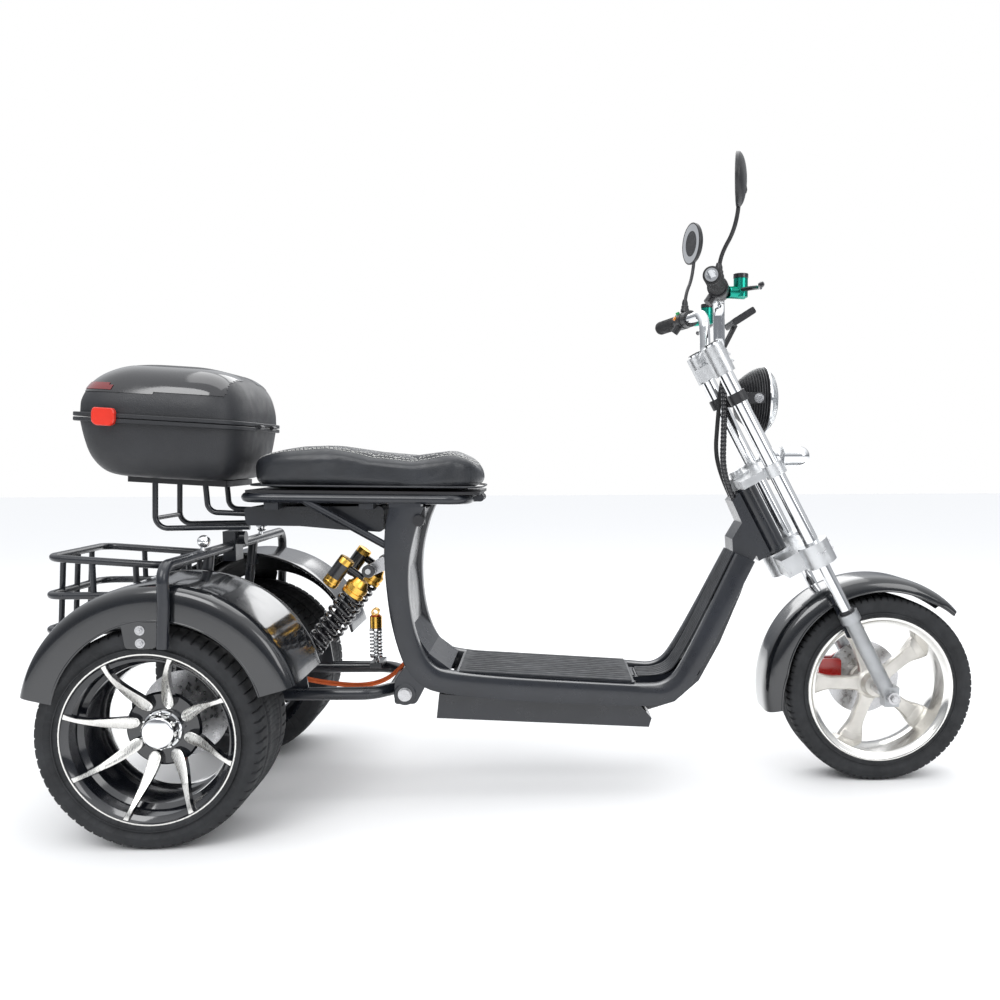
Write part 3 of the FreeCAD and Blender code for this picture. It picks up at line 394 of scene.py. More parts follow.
frame_black = paint("frame_satin_black", (0.011, 0.013, 0.018), 0.3, 0.35)
gloss_black = paint("fender_gloss_black", (0.005, 0.006, 0.008), 0.16, 1.0)
rim_black = paint("rim_gloss_black", (0.006, 0.007, 0.010), 0.14, 1.0)
chrome = bright("plated_chrome", (0.86, 0.87, 0.88), 0.08)
polished = bright("polished_alloy", (0.84, 0.83, 0.80), 0.16)
machined = brushed("machined_spokes", (0.80, 0.79, 0.76), 0.26, (50, 4, 4))
champagne = cast("champagne_alloy", (0.66, 0.64, 0.60), 0.38)
cast_grey = cast("cast_fork_grey", (0.40, 0.41, 0.42), 0.42)
cast_silver = cast("cast_clamp_silver", (0.58, 0.59, 0.60), 0.34)
steel = brushed("disc_steel", (0.55, 0.55, 0.56), 0.3, (3, 60, 3))
tyre_rubber = rubber("tyre_rubber", (0.020, 0.021, 0.023), 0.72)
mat_rubber = rubber("mat_rubber", (0.026, 0.028, 0.032), 0.6)
grip_rubber = rubber("grip_rubber", (0.018, 0.018, 0.019), 0.65)
box_plastic = plastic("top_box_grained_plastic", (0.018, 0.019, 0.022), 0.46, 0.0005, 520)
black_plastic = plastic("black_moulded_plastic", (0.014, 0.014, 0.016), 0.38, 0.0002)
gloss_plastic = paint("piano_black_plastic", (0.006, 0.006, 0.008), 0.1, 0.9)
seat_vinyl = vinyl("seat_vinyl", (0.016, 0.018, 0.022), 0.42)
thread = plastic("white_thread", (0.62, 0.62, 0.60), 0.7, 0.0003, 1600)
spring_black = paint("spring_black", (0.008, 0.008, 0.010), 0.22, 0.6)
gold = bright("gold_anodised", (0.85, 0.50, 0.10), 0.28)
red_paint = paint("caliper_red", (0.42, 0.015, 0.012), 0.25, 0.7)
red_plastic = paint("latch_red", (0.75, 0.03, 0.012), 0.32, 0.3)
dark_red = paint("reflector_dark_red", (0.16, 0.006, 0.008), 0.12, 0.8)
teal = bright("teal_anodised", (0.02, 0.36, 0.27), 0.25)
orange_rubber = rubber("motor_lead_orange", (0.55, 0.10, 0.02), 0.5)
mirror_face = bright("mirror_glass", (0.93, 0.94, 0.95), 0.02, 0.0)
lens_glass = glass("headlight_glass", (0.93, 0.95, 0.96), 0.03)
reflector = bright("headlight_reflector", (0.9, 0.9, 0.9), 0.1)
green_plastic = paint("button_green", (0.02, 0.35, 0.10), 0.3, 0.3)
orange_plastic = paint("button_orange", (0.85, 0.28, 0.02), 0.3, 0.3)
screen = paint("display_screen", (0.02, 0.025, 0.03), 0.08, 1.0)

for name, finish in {
        "head_frame": frame_black, "seat_post": frame_black, "battery_tray": frame_black,
        "battery_block": black_plastic, "seat_frame": frame_black, "under_seat_box": frame_black,
        "box_rack": frame_black, "rear_axle": frame_black, "swing_arm": frame_black,
        "frame_pins": steel, "cross_beam": frame_black, "rear_signals": chrome,
        "rear_basket": frame_black, "seat_lock": black_plastic, "fork_tubes": chrome,
        "fork_legs": cast_grey, "front_axle": steel, "lower_clamp": cast_silver,
        "middle_clamp": cast_silver, "handlebar": chrome, "upper_clamp": cast_silver,
        "display": black_plastic, "front_caliper": red_paint, "rear_disc_left": steel,
        "rear_disc_right": steel, "front_brake_disc": steel, "floor_cover": frame_black,
        "seat_base": black_plastic, "front_signals": chrome}.items():
    data = nodes[name].data
    data.materials.clear()
    data.materials.append(finish)

# --- wheels ------------------------------------------------------------------

rear_mid, rear_half = 282.0, 101.5
lip_out = rear_mid + rear_half - 9
hub_face = lip_out - 80
flange = 167.5


def smoothstep(value, low, high):
    """Eases from 0 at low to 1 at high."""
    t = np.clip((value - low) / (high - low), 0, 1)
    return t * t * (3 - 2 * t)


def tyre(centre_x, centre_y, half, blocks):
    """Tyre whose radius falls off over its shoulders, cut by grooves round and across it.

    The profile is a superellipse from bead to bead; blocks of slanted slots repeat
    round the shoulders and thin grooves run round the crown.
    """
    steps, span = 720, 84
    v = np.linspace(-1, 1, span)
    angle = np.arange(steps) / steps * TURN
    bead = flange - 1
    lift = (1 - np.abs(v) ** 3.2) ** (1 / 2.2)
    radius = bead + (tyre_radius - bead) * lift
    spread = half * np.sign(v) * (1 - (1 - np.abs(v)) ** 2.1) ** 0.5
    inset = np.clip((np.abs(v) - 0.93) / 0.07, 0, 1)
    spread = spread * (1 - 0.09 * inset)
    a, w = np.meshgrid(angle, spread / half, indexing="ij")
    shoulder = smoothstep(np.abs(w), 0.52, 0.6) * (1 - smoothstep(np.abs(w), 0.93, 0.99))
    phase = (a * blocks / TURN + 0.35 * np.abs(w) * np.sign(w)) % 1
    slots = smoothstep(np.abs(phase - 0.5), 0.40, 0.44) * shoulder
    rounds = sum(np.exp(-((w - place) / 0.028) ** 2) for place in (-0.42, -0.14, 0.14, 0.42))
    fine = smoothstep(np.abs((a * blocks / TURN * 2 + np.abs(w)) % 1 - 0.5), 0.44, 0.47)
    fine = fine * (1 - smoothstep(np.abs(w), 0.36, 0.42)) * smoothstep(np.abs(w), 0.14, 0.18)
    depth = 3.6 * np.clip(slots + rounds + 0.7 * fine, 0, 1)
    r = radius[None, :] - depth
    points = np.stack([centre_x + r * np.cos(a), centre_y + np.broadcast_to(spread, r.shape),
                       axle_z + r * np.sin(a)], -1)
    inner_r = np.full((steps, 2), bead - 8)
    inner_y = np.broadcast_to([half * 0.82, -half * 0.82], (steps, 2))
    inner = np.stack([centre_x + inner_r * np.cos(a[:, :2]), centre_y + inner_y,
                      axle_z + inner_r * np.sin(a[:, :2])], -1)
    whole = np.concatenate([points, inner], 1)
    return whole, quads(steps, span + 2, True, True)


def sidewall_rings(centre_x, centre_y, half, side):
    """Two raised lines round a tyre's outer wall."""
    parts = []
    for radius, proud in ((176, 0.5), (197, 0.4)):
        y = centre_y + side * half * (0.97 if radius < 180 else 0.985)
        parts.append(lathe([(radius - 1.4, y - side * 4), (radius - 1, y + side * proud),
                            (radius + 1, y + side * proud), (radius + 1.4, y - side * 4)],
                           (centre_x, 0, axle_z), steps=160, closed=True))
    return parts


rear_barrel = [(167.5, lip_out), (163, lip_out), (160, lip_out - 5), (151, lip_out - 10),
               (149, lip_out - 40), (140, lip_out - 48), (138, lip_out - 78), (134, lip_out - 86),
               (133, lip_out - 140), (140, 212), (150, 201), (160, 190), (167.5, 189.5), (167.5, 197),
               (155, 200), (155, 360), (167.5, 366)]


def spoke_blade(angle, root, drop, low, high):
    """Spoke from a rounded head at the hub to a narrow tip at the lip.

    Its half width swells to the head and thins outwards, its line bows a little to one
    side, and its face climbs from the hub face to the lip.
    """
    t = np.linspace(0, 1, 48)
    head = np.sqrt(np.clip(1 - ((0.13 - t) / 0.13).clip(0, 1) ** 2, 0, 1))
    half = (11.5 - 7.2 * smoothstep(t, 0.1, 0.85)) * np.where(t < 0.13, head, 1)
    half = np.maximum(half, 0.05) + 0.9 * smoothstep(t, 0.92, 1)
    r = root + (162 - root) * t
    y = hub_face + 4 + (lip_out - hub_face - 5) * smoothstep(t, -0.25, 1.02) ** 1.25
    bow = 5.5 * np.sin(math.pi * t)
    across = np.array([-1, -0.86, 0.86, 1, 1, -1])
    rise = np.array([low, high, high, low, low - drop, low - drop])
    side = bow[:, None] + half[:, None] * across
    x = r[:, None] * math.cos(angle) - side * math.sin(angle)
    z = r[:, None] * math.sin(angle) + side * math.cos(angle)
    points = np.stack([x, y[:, None] + rise, axle_z + z], -1)
    faces = quads(len(t), 6, False, True)
    faces.append(list(range(6)))
    faces.append([6 * (len(t) - 1) + k for k in reversed(range(6))])
    return points, faces


spoke_angles = np.radians(28 + 45 * np.arange(8))
lug_angles = spoke_angles[::2]


def rear_wheel(side_name, flip):
    """Tyre, black barrel, machined spokes, lugs and chrome cap of a rear wheel."""
    place = mirrored if flip else (lambda part: part)
    body = "rear_wheel_" + side_name
    mesh("rear_tyre_tread_" + side_name, [place(tyre(0, rear_mid, rear_half, 66))], tyre_rubber, body,
         replaces=["rear_tyre_" + side_name])
    mesh("rear_tyre_lines_" + side_name, [place(p) for p in sidewall_rings(0, rear_mid, rear_half, 1)],
         tyre_rubber, body)
    spider = lathe([(32, hub_face - 90), (34, hub_face - 10), (72, hub_face - 8), (74, hub_face - 4),
                    (70, hub_face + 1), (0, hub_face + 1)], (0, 0, axle_z), steps=64)
    collar = lathe([(0, 176), (32, 176), (32, hub_face - 90), (0, hub_face - 90)], (0, 0, axle_z), steps=48)
    webs = [spoke_blade(a, 44, 15, -1.2, -0.8) for a in spoke_angles]
    barrel = lathe(rear_barrel, (0, 0, axle_z), steps=160, closed=True)
    mesh("rear_rim_barrel_" + side_name, [place(p) for p in [barrel, spider, collar, *webs]], rim_black,
         body, replaces=["rear_rim_" + side_name])
    faces = [spoke_blade(a, 44, 0.6, -0.4, 0.5) for a in spoke_angles]
    line = lathe([(163.4, lip_out - 1), (164, lip_out + 0.5), (166.4, lip_out + 0.5), (167, lip_out - 1)],
                 (0, 0, axle_z), steps=160, closed=True)
    mesh("rear_spoke_faces_" + side_name, [place(p) for p in [*faces, line]], machined, body)
    lugs, sockets = [], []
    for a in lug_angles:
        centre = (56 * math.cos(a), 0, axle_z + 56 * math.sin(a))
        sockets.append(lathe([(7.2, hub_face + 3), (7.2, hub_face + 5.6), (9.6, hub_face + 5.6),
                              (9.6, hub_face + 3)], centre, steps=32, closed=True))
        lugs.append(lathe([(0, hub_face + 2), (8.2, hub_face + 2), (8.2, hub_face + 5.2),
                           (7, hub_face + 5.3), (0, hub_face + 5.3)], centre, steps=32))
        lugs.append(lathe([(0, hub_face + 5), (5.6, hub_face + 5), (5.2, hub_face + 9), (2.5, hub_face + 11),
                           (0, hub_face + 11.2)], centre, steps=6))
    mesh("rear_lug_nuts_" + side_name, [place(p) for p in lugs], spring_black, body)
    mesh("rear_lug_rings_" + side_name, [place(p) for p in sockets], machined, body)
    cap = lathe([(39, hub_face + 1), (40, hub_face + 5), (38.5, hub_face + 9), (35, hub_face + 10.5),
                 (34, hub_face + 13), (34, hub_face + 20), (32.5, hub_face + 31), (30, hub_face + 34),
                 (27, hub_face + 35), (0, hub_face + 35)], (0, 0, axle_z), steps=72)
    notches = []
    for k in range(12):
        a = k / 12 * TURN
        middle = np.array([36.8 * math.cos(a), hub_face + 14, axle_z + 36.8 * math.sin(a)])
        notches.append(rod(middle - [0, 4, 0], middle + [0, 4, 0], 2.2, 8))
    mesh("rear_hub_cap_" + side_name, [place(p) for p in [cap, *notches]], chrome, body)


rear_wheel("left", False)
rear_wheel("right", True)


def front_wheel():
    """Front tyre and champagne five-spoke rim with a polished barrel and lips."""
    half = 57.5
    mesh("front_tyre_tread", [tyre(front_x, 0, half, 84)], tyre_rubber, "front_wheel",
         replaces=["front_tyre"])
    mesh("front_tyre_lines", sidewall_rings(front_x, 0, half, -1) + sidewall_rings(front_x, 0, half, 1),
         tyre_rubber, "front_wheel")
    profile = [(167.5, -54), (164, -54.4), (160, -52), (157, -47), (150, -44), (147, -30), (143, -8),
               (142, 8), (146, 32), (150, 46), (160, 54), (167.5, 54), (167.5, 47), (155, 44), (155, -44),
               (167.5, -47)]
    mesh("front_rim_barrel", [lathe(profile, (front_x, 0, axle_z), steps=160, closed=True)], polished,
         "front_wheel", replaces=["front_rim"])
    parts = []
    t = np.linspace(0, 1, 30)
    for k in range(5):
        angle = math.radians(180 + 72 * k)
        r = 16 + (146 - 16) * t
        width = 15 + 5 * (1 - smoothstep(t, 0, 0.3)) + 13 * smoothstep(t, 0.55, 1) ** 1.3
        y = 8 + 10 * smoothstep(t, 0.05, 0.9)
        across = np.array([-1, -0.8, 0.8, 1, 1, -1])
        depth = np.array([3.5, 0, 0, 3.5, 20, 20])
        side = width[:, None] * across
        points = np.stack([front_x + r[:, None] * math.cos(angle) - side * math.sin(angle),
                           y[:, None] + depth - 4, axle_z + r[:, None] * math.sin(angle)
                           + side * math.cos(angle)], -1)
        faces = quads(30, 6, False, True)
        faces.extend([list(range(6)), [6 * 29 + j for j in reversed(range(6))]])
        parts.append((points, faces))
    hub = lathe([(9, -20), (24, -20), (27, -16), (29, 0), (36, 5), (38, 12), (32, 26), (29, 60), (34, 64),
                 (34, 71.9), (9, 71.9)], (front_x, 0, axle_z), steps=64, closed=True)
    mesh("front_spokes", parts + [hub], champagne, "front_wheel")
    lip = lathe([(161, -54.2), (163, -55.5), (166, -55.5), (167.3, -54.2)], (front_x, 0, axle_z), steps=160,
                closed=True)
    mesh("front_rim_lip", [lip, mirrored(lip)], polished, "front_wheel")


front_wheel()

# --- seat ----------------------------------------------------------------------

seat_x0, seat_x1, seat_half = 119.0, 621.0, 133.0
crown_x = [119, 207, 292, 385, 474, 564, 600, 621]
crown_z = [754, 763, 766, 752, 744, 756, 748, 735]


def seat_form(pinch=0.0):
    """Cushion: superellipse ends in plan, superellipse sections, top along the crown line."""
    s = np.sin(np.linspace(-1, 1, 72) * math.pi / 2)
    x = (seat_x0 + seat_x1) / 2 + s * (seat_x1 - seat_x0) / 2
    plan = np.clip(1 - np.abs(s) ** 7, 0, 1) ** (1 / 2.6)
    top = np.interp(x, crown_x, crown_z)
    floor_z = 679 - 7 * (x - seat_x0) / (seat_x1 - seat_x0)
    v = np.arange(64) / 64 * TURN
    c, d = np.cos(v), np.sin(v)
    across = np.sign(c) * np.abs(c) ** 0.42
    over = np.sign(d) * np.abs(d) ** 0.5
    middle = (top + floor_z) / 2
    tall = (top - floor_z) / 2 * np.clip(1 - np.abs(s) ** 12, 0.02, 1) ** 0.5
    half = np.maximum(plan * seat_half, 1)
    y = half[:, None] * across[None, :] * (1 - pinch * (1 - over[None, :] ** 2))
    z = middle[:, None] + tall[:, None] * over[None, :]
    points = np.stack([np.broadcast_to(x[:, None], y.shape), y, z], -1)
    faces = quads(72, 64, False, True)
    faces.extend([list(range(64)), [71 * 64 + k for k in reversed(range(64))]])
    return points, faces


quilt_pitch = 46.0
quilt_slant = 1.15


def quilt_depth(x, y):
    """Grooves along two families of slanted lines, in millimetres."""
    groove = np.zeros_like(x)
    for sign in (1, -1):
        place = (x + sign * quilt_slant * y) / quilt_pitch
        off = np.abs(place - np.round(place)) * quilt_pitch
        groove = np.maximum(groove, np.exp(-(off / 2.6) ** 2))
    return 2.2 * groove


voxel = 0.005                   # metres
air_pressure = 4.0
cloth_frames = 20
swell_cap = 0.006
pan_height = 0.684              # what is lower than this rests on the pan


def puff(piece):
    """Cloth pass: voxel skin, gas pressure with gravity off, then one subdivision."""
    bpy.context.view_layer.objects.active = piece
    skin = piece.modifiers.new("skin", "REMESH")
    skin.mode = "VOXEL"
    skin.voxel_size = voxel
    bpy.ops.object.modifier_apply(modifier="skin")
    cloth = piece.modifiers.new("air", "CLOTH")
    cloth.settings.use_pressure = True
    cloth.settings.uniform_pressure_force = air_pressure
    cloth.settings.effector_weights.gravity = 0.0
    cloth.settings.tension_stiffness = 60
    cloth.settings.compression_stiffness = 60
    cloth.settings.bending_stiffness = 8
    cloth.point_cache.frame_start = 1
    cloth.point_cache.frame_end = cloth_frames
    before = np.empty(len(piece.data.vertices) * 3)
    piece.data.vertices.foreach_get("co", before)
    for frame_number in range(1, cloth_frames + 1):
        bpy.context.scene.frame_set(frame_number)
    bpy.ops.object.modifier_apply(modifier="air")
    bpy.context.scene.frame_set(1)
    after = np.empty_like(before)
    piece.data.vertices.foreach_get("co", after)
    shift = (after - before).reshape(-1, 3)
    length = np.linalg.norm(shift, axis=1)[:, None]
    shift *= np.minimum(1, swell_cap / np.maximum(length, 1e-9))
    moved = before.reshape(-1, 3) + shift
    start_z = before.reshape(-1, 3)[:, 2]
    moved[:, 2] = np.where(start_z < pan_height, start_z, moved[:, 2])
    piece.data.vertices.foreach_set("co", moved.ravel())
    finer = piece.modifiers.new("finer", "SUBSURF")
    finer.levels = 1
    finer.render_levels = 1
    bpy.ops.object.modifier_apply(modifier="finer")


def press_quilt(piece):
    """Presses the quilt's grooves into the top of the cushion, inside its border seam."""
    data = piece.data
    points = np.empty(len(data.vertices) * 3)
    data.vertices.foreach_get("co", points)
    points = points.reshape(-1, 3)
    normals = np.empty(len(data.vertices) * 3)
    data.vertices.foreach_get("normal", normals)
    normals = normals.reshape(-1, 3)
    x = (points[:, 0] - rear_x) * 1000
    y = points[:, 1] * 1000
    facing = smoothstep(normals[:, 2], 0.55, 0.85)
    inside = seam_reach(x, y)
    border = np.exp(-((inside - 1.0) / 0.02) ** 2)
    quilting = quilt_depth(x, y) * (inside < 0.985)
    points[:, 2] -= facing * (quilting + 2.0 * border) / 1000
    data.vertices.foreach_set("co", points.ravel())
    data.update()


seam_half_x, seam_half_y = 232.0, 104.0
seam_x = (seat_x0 + seat_x1) / 2


def seam_reach(x, y):
    """One on the border seam, a rounded rectangle; less than one inside it."""
    return (np.abs((x - seam_x) / seam_half_x) ** 5 + np.abs(y / seam_half_y) ** 5) ** 0.2


def seat_skin(piece):
    """Ray caster down onto the finished cushion, in millimetres."""
    work = bmesh.new()
    work.from_mesh(piece.data)
    tree = BVHTree.FromBMesh(work)
    work.free()

    def height(x, y):
        hit = tree.ray_cast((rear_x + x / 1000, y / 1000, 1.2), (0, 0, -1))
        return hit[0].z * 1000 if hit[0] is not None else None
    return height


def stitch_run(path, height, length, gap):
    """Small rounded stitches laid along a plan path on the cushion's top."""
    path = np.asarray(path, float)
    step = np.linalg.norm(np.diff(path, axis=0), axis=1)
    travel = np.concatenate([[0], np.cumsum(step)])
    parts = []
    for start in np.arange(0, travel[-1] - length, length + gap):
        along = np.linspace(start, start + length, 4)
        x = np.interp(along, travel, path[:, 0])
        y = np.interp(along, travel, path[:, 1])
        z = [height(a, b) for a, b in zip(x, y)]
        if None in z:
            continue
        lift = np.array([0.1, 0.75, 0.75, 0.1])
        parts.append(carry(np.stack([x, y, np.array(z) + lift], 1), ring(0.75, 6)))
    return parts


def seam_path(grow, count=240):
    """Border seam in plan, moved outwards by grow millimetres."""
    angle = np.linspace(0, TURN, count)
    c, s = np.cos(angle), np.sin(angle)
    return np.stack([seam_x + (seam_half_x + grow) * np.sign(c) * np.abs(c) ** 0.4,
                     (seam_half_y + grow) * np.sign(s) * np.abs(s) ** 0.4], 1)


def quilt_lines():
    """Slanted lines of the quilt, clipped at the border seam."""
    lines = []
    for sign in (1, -1):
        for k in range(-2, 18):
            y = np.linspace(-seam_half_y, seam_half_y, 60)
            x = k * quilt_pitch - sign * quilt_slant * y
            keep = seam_reach(x, y) < 0.97
            if keep.sum() > 6:
                lines.append(np.stack([x[keep], y[keep]], 1))
    return lines


def seat():
    """Cushion with its quilted top, border stitching and lower welt."""
    piece = mesh("seat_cushion_skin", [seat_form(0.02)], seat_vinyl, "seat",
                 replaces=["seat_cushion"])
    puff(piece)
    press_quilt(piece)
    piece.data.shade_smooth()
    height = seat_skin(piece)
    stitches = []
    for grow in (-3.0, 5.0):
        stitches.extend(stitch_run(seam_path(grow), height, 6.0, 3.0))
    for line in quilt_lines():
        stitches.extend(stitch_run(line, height, 5.5, 4.0))
    mesh("seat_stitches", stitches, thread, "seat")
    angle = np.linspace(0, TURN, 160, endpoint=False)
    c, s = np.cos(angle), np.sin(angle)
    x = seam_x + 250 * np.sign(c) * np.abs(c) ** 0.32
    welt = np.stack([x, 132 * np.sign(s) * np.abs(s) ** 0.32, 688 - 7 * (x - seat_x0) / 502], 1)
    mesh("seat_welt", [carry(welt, ring(2.2, 10), True)], seat_vinyl, "seat")


seat()

# --- top box ---------------------------------------------------------------------

box_tilt = math.radians(3.5)
box_middle = np.array([-45.0, 0.0, 822.0])


def box_level(z, x0, x1, half, power=5.0, count=96):
    """Rounded rectangle at one height, as a superellipse."""
    angle = np.arange(count) / count * TURN
    c, s = np.cos(angle), np.sin(angle)
    e = 2 / power
    return np.stack([(x0 + x1) / 2 + (x1 - x0) / 2 * np.sign(c) * np.abs(c) ** e,
                     half * np.sign(s) * np.abs(s) ** e, np.full(count, z)], 1)


def box_form(levels, inward=None):
    """Shell of stacked levels, smoothed between them, capped at its last level."""
    levels = np.asarray(levels, float)
    rows = [box_level(*row) for row in levels]
    count = len(rows[0])
    points = np.concatenate(rows)
    faces = quads(len(rows), count, False, True)
    faces.append([(len(rows) - 1) * count + k for k in range(count)])
    if inward:
        inner = [box_level(z, x0 + inward, x1 - inward, half - inward) for z, x0, x1, half in levels]
        base = len(points)
        points = np.concatenate([points, *inner])
        inner_faces = quads(len(inner), count, False, True)
        faces.extend([[k + base for k in face] for face in inner_faces])
        faces.append([base + (len(inner) - 1) * count + k for k in range(count)])
        faces.extend([[k, (k + 1) % count, base + (k + 1) % count, base + k] for k in range(count)])
    return points, faces


def smooth_levels(levels):
    """Levels eased by corner cutting, so that the shell's side is a curve."""
    return smooth_path(levels, 3)


def tilt(part):
    """Top-box parts are turned nose down with their box."""
    return turned(part, box_middle, box_tilt)


def top_box():
    """Two grained shells with a gloss panel, a red latch, a reflector and a belt."""
    lid_levels = smooth_levels([(832, -215, 126, 189), (862, -214, 124, 188), (903, -190, 112, 172),
                                (931, -146, 84, 140), (941, -100, 40, 100), (944, -60, 0, 50)])
    base_levels = smooth_levels([(813, -215, 125, 188), (780, -208, 121, 185), (742, -196, 114, 178),
                                 (712, -172, 100, 160), (703, -140, 80, 140), (702, -90, 40, 90)])
    mesh("top_box_lid_shell", [tilt(box_form(lid_levels, 3.0))], box_plastic, "box_lid",
         replaces=["top_box_lid"])
    mesh("top_box_base_shell", [tilt(box_form(base_levels, 3.0))], box_plastic, "frame",
         replaces=["top_box_base"])
    rims = []
    for z, flip in ((827.5, 1), (817.5, -1)):
        outer = box_level(z, -226, 132, 200)
        section = np.array([(-14, -4.2), (-1, -4.2), (0, -3), (0, 3), (-1, 4.2), (-14, 4.2)])
        rims.append((flip, tilt(carry(outer, section, True))))
    mesh("top_box_lid_rim", [rims[0][1]], box_plastic, "box_lid")
    mesh("top_box_base_rim", [rims[1][1]], box_plastic, "frame")
    band = [(z, x0 - 1.2, x1 + 1.2, half + 1.2) for z, x0, x1, half in lid_levels if 872 < z < 936]
    points = np.concatenate([box_level(*row) for row in band])
    faces = quads(len(band), 96, False, True)
    middle = points[np.array(faces)].mean(1)
    cut = (middle[:, 0] < 96) & (np.abs(middle[:, 1]) > 40)
    cut &= middle[:, 2] > 872 + (middle[:, 0] + 200) * 0.03
    panel = [face for face, keep in zip(faces, cut) if keep]
    mesh("top_box_gloss_panel", [tilt((points, panel))], gloss_plastic, "box_lid")
    strip = [(z, x0 - 2.4, x1 + 2.4, half + 2.4) for z, x0, x1, half in lid_levels if 878 < z < 897]
    points = np.concatenate([box_level(*row) for row in strip])
    faces = quads(len(strip), 96, False, True)
    middle = points[np.array(faces)].mean(1)
    lamp = [face for face, x in zip(faces, middle[:, 0]) if x < -128]
    mesh("top_box_reflector", [tilt((points, lamp))], dark_red, "box_lid")
    latch = round_corners([(-150, 842), (-112, 842), (-108, 834), (-108, 814), (-116, 806), (-146, 806),
                           (-154, 814), (-154, 834)], 5)
    button = slab(latch, 196, 209, 2)
    mesh("top_box_latch", both(tilt(button)), red_plastic, "box_lid")
    feet = [slab([(-130, 690), (80, 690), (80, 703), (-130, 703)], -90, 90, 2)]
    hinge = [rod((137, y, 823), (137, y + 26, 823), 4.6) for y in (-60, 34)]
    mesh("top_box_foot", [tilt(p) for p in feet + hinge], black_plastic, "frame")


top_box()

# --- shocks and damper -------------------------------------------------------------


def coil(start, end, radius, wire, turns, steps=28):
    """Round wire wound about the line from start to end."""
    start = np.asarray(start, float)
    run = np.asarray(end, float) - start
    axis = run / np.linalg.norm(run)
    side = np.cross(axis, [0, 1.0, 0])
    side /= np.linalg.norm(side)
    other = np.cross(axis, side)
    t = np.linspace(0, 1, int(turns * steps))
    angle = t * turns * TURN
    path = (start + run * t[:, None] + radius * (np.cos(angle)[:, None] * side
            + np.sin(angle)[:, None] * other))
    return carry(path, ring(wire, 10), lean=axis)


def shocks():
    """Coil-over shocks with gold collars and side reservoirs."""
    top, bottom = np.array([374.0, 104, 501]), np.array([220.0, 104, 294])
    run = (top - bottom) / np.linalg.norm(top - bottom)
    across = np.array([-run[2], 0, run[0]])
    black = [coil(bottom + run * 44, top - run * 62, 21, 4.2, 9)]
    black.append(rod(bottom + run * 6, top - run * 60, 9))
    black.append(lathe([(0, 0), (24, 0), (25, 2), (25, 8), (20, 12), (0, 12)], bottom + run * 32, run, 40))
    eyes = [lathe([(6.2, -12), (13.4, -12), (14, -10), (14, 10), (13.4, 12), (6.2, 12)],
                  top, (0, 1, 0), 40, True),
            lathe([(0, -12), (12.4, -12), (13, -10), (13, 14), (12.4, 16), (0, 16)], bottom, (0, 1, 0), 40),
            rod(bottom + run * 4, bottom + run * 34, 10)]
    mesh("shock_springs", both(*black), spring_black, "frame", replaces=["rear_shocks"])
    collars = [lathe([(0, 0), (23, 0), (24.5, 1.5), (24.5, 9), (22, 10), (22, 14), (24.5, 15), (24.5, 24),
                      (20, 28), (15, 40), (0, 40)], top - run * 64, run, 40)]
    tank = top + across * 52
    collars.append(lathe([(0, 0), (14, 0), (16, 1.5), (17, 3), (17, 69), (16, 71), (12, 72), (0, 72)],
                         tank - run * 76, run, 40))
    collars.append(lathe([(17.2, 8), (17.6, 9), (17.6, 11), (17.2, 12)], tank - run * 76, run, 40, True))
    mesh("shock_gold_parts", both(*collars), gold, "frame")
    eyes.append(rod(top - run * 22, tank - run * 22, 8.6))
    eyes.append(lathe([(17.1, 22), (17.3, 22), (17.3, 58), (17.1, 58)], tank - run * 76, run, 40, True))
    mesh("shock_eyes", both(*eyes), spring_black, "frame")
    spring = [coil((357, 64, 282), (357, 64, 340), 13.5, 2.4, 7), rod((357, 64, 262), (357, 64, 376), 6),
              rod((357, 64, 276), (357, 64, 281), 15), rod((357, 64, 340), (357, 64, 346), 15)]
    mesh("damper_spring", spring, chrome, "frame", replaces=["small_damper"])
    body = [rod((357, 64, 346), (357, 64, 374), 14), lathe([(6, -10), (9, -10), (9, 10), (6, 10)],
                                                         (357, 64, 384), (0, 1, 0), 32, True)]
    mesh("damper_body", body, gold, "frame")
    mesh("damper_cap", [rod((357, 64, 372), (357, 64, 377), 11)], red_plastic, "frame")
    foot = slab([(343, 252), (371, 252), (371, 264), (343, 264)], 50, 122, 1)
    mesh("damper_foot", [foot], frame_black, "frame")


shocks()

# --- fenders -----------------------------------------------------------------------


def arch(section, cx, cz, start, end, steps):
    """Closed section of (radius, y) carried round (cx, cz) between two angles, in degrees."""
    section = np.asarray(section, float)
    angle = np.radians(np.linspace(start, end, steps))
    r, y = section[:, 0][None, :], section[:, 1][None, :]
    points = np.stack([cx + r * np.cos(angle)[:, None], np.broadcast_to(y, (steps, len(section))),
                       cz + r * np.sin(angle)[:, None]], -1)
    faces = quads(steps, len(section), False, True)
    count = len(section)
    faces.append(list(range(count)))
    faces.append([(steps - 1) * count + k for k in reversed(range(count))])
    return points, faces


def shell_section(line, thick):
    """Open (radius, y) line given a thickness on its inner side, as a closed section."""
    line = np.asarray(line, float)
    along = np.gradient(line, axis=0)
    along /= np.linalg.norm(along, axis=1)[:, None]
    normal = np.stack([along[:, 1], -along[:, 0]], 1)
    return np.concatenate([line, (line - normal * thick)[::-1]])


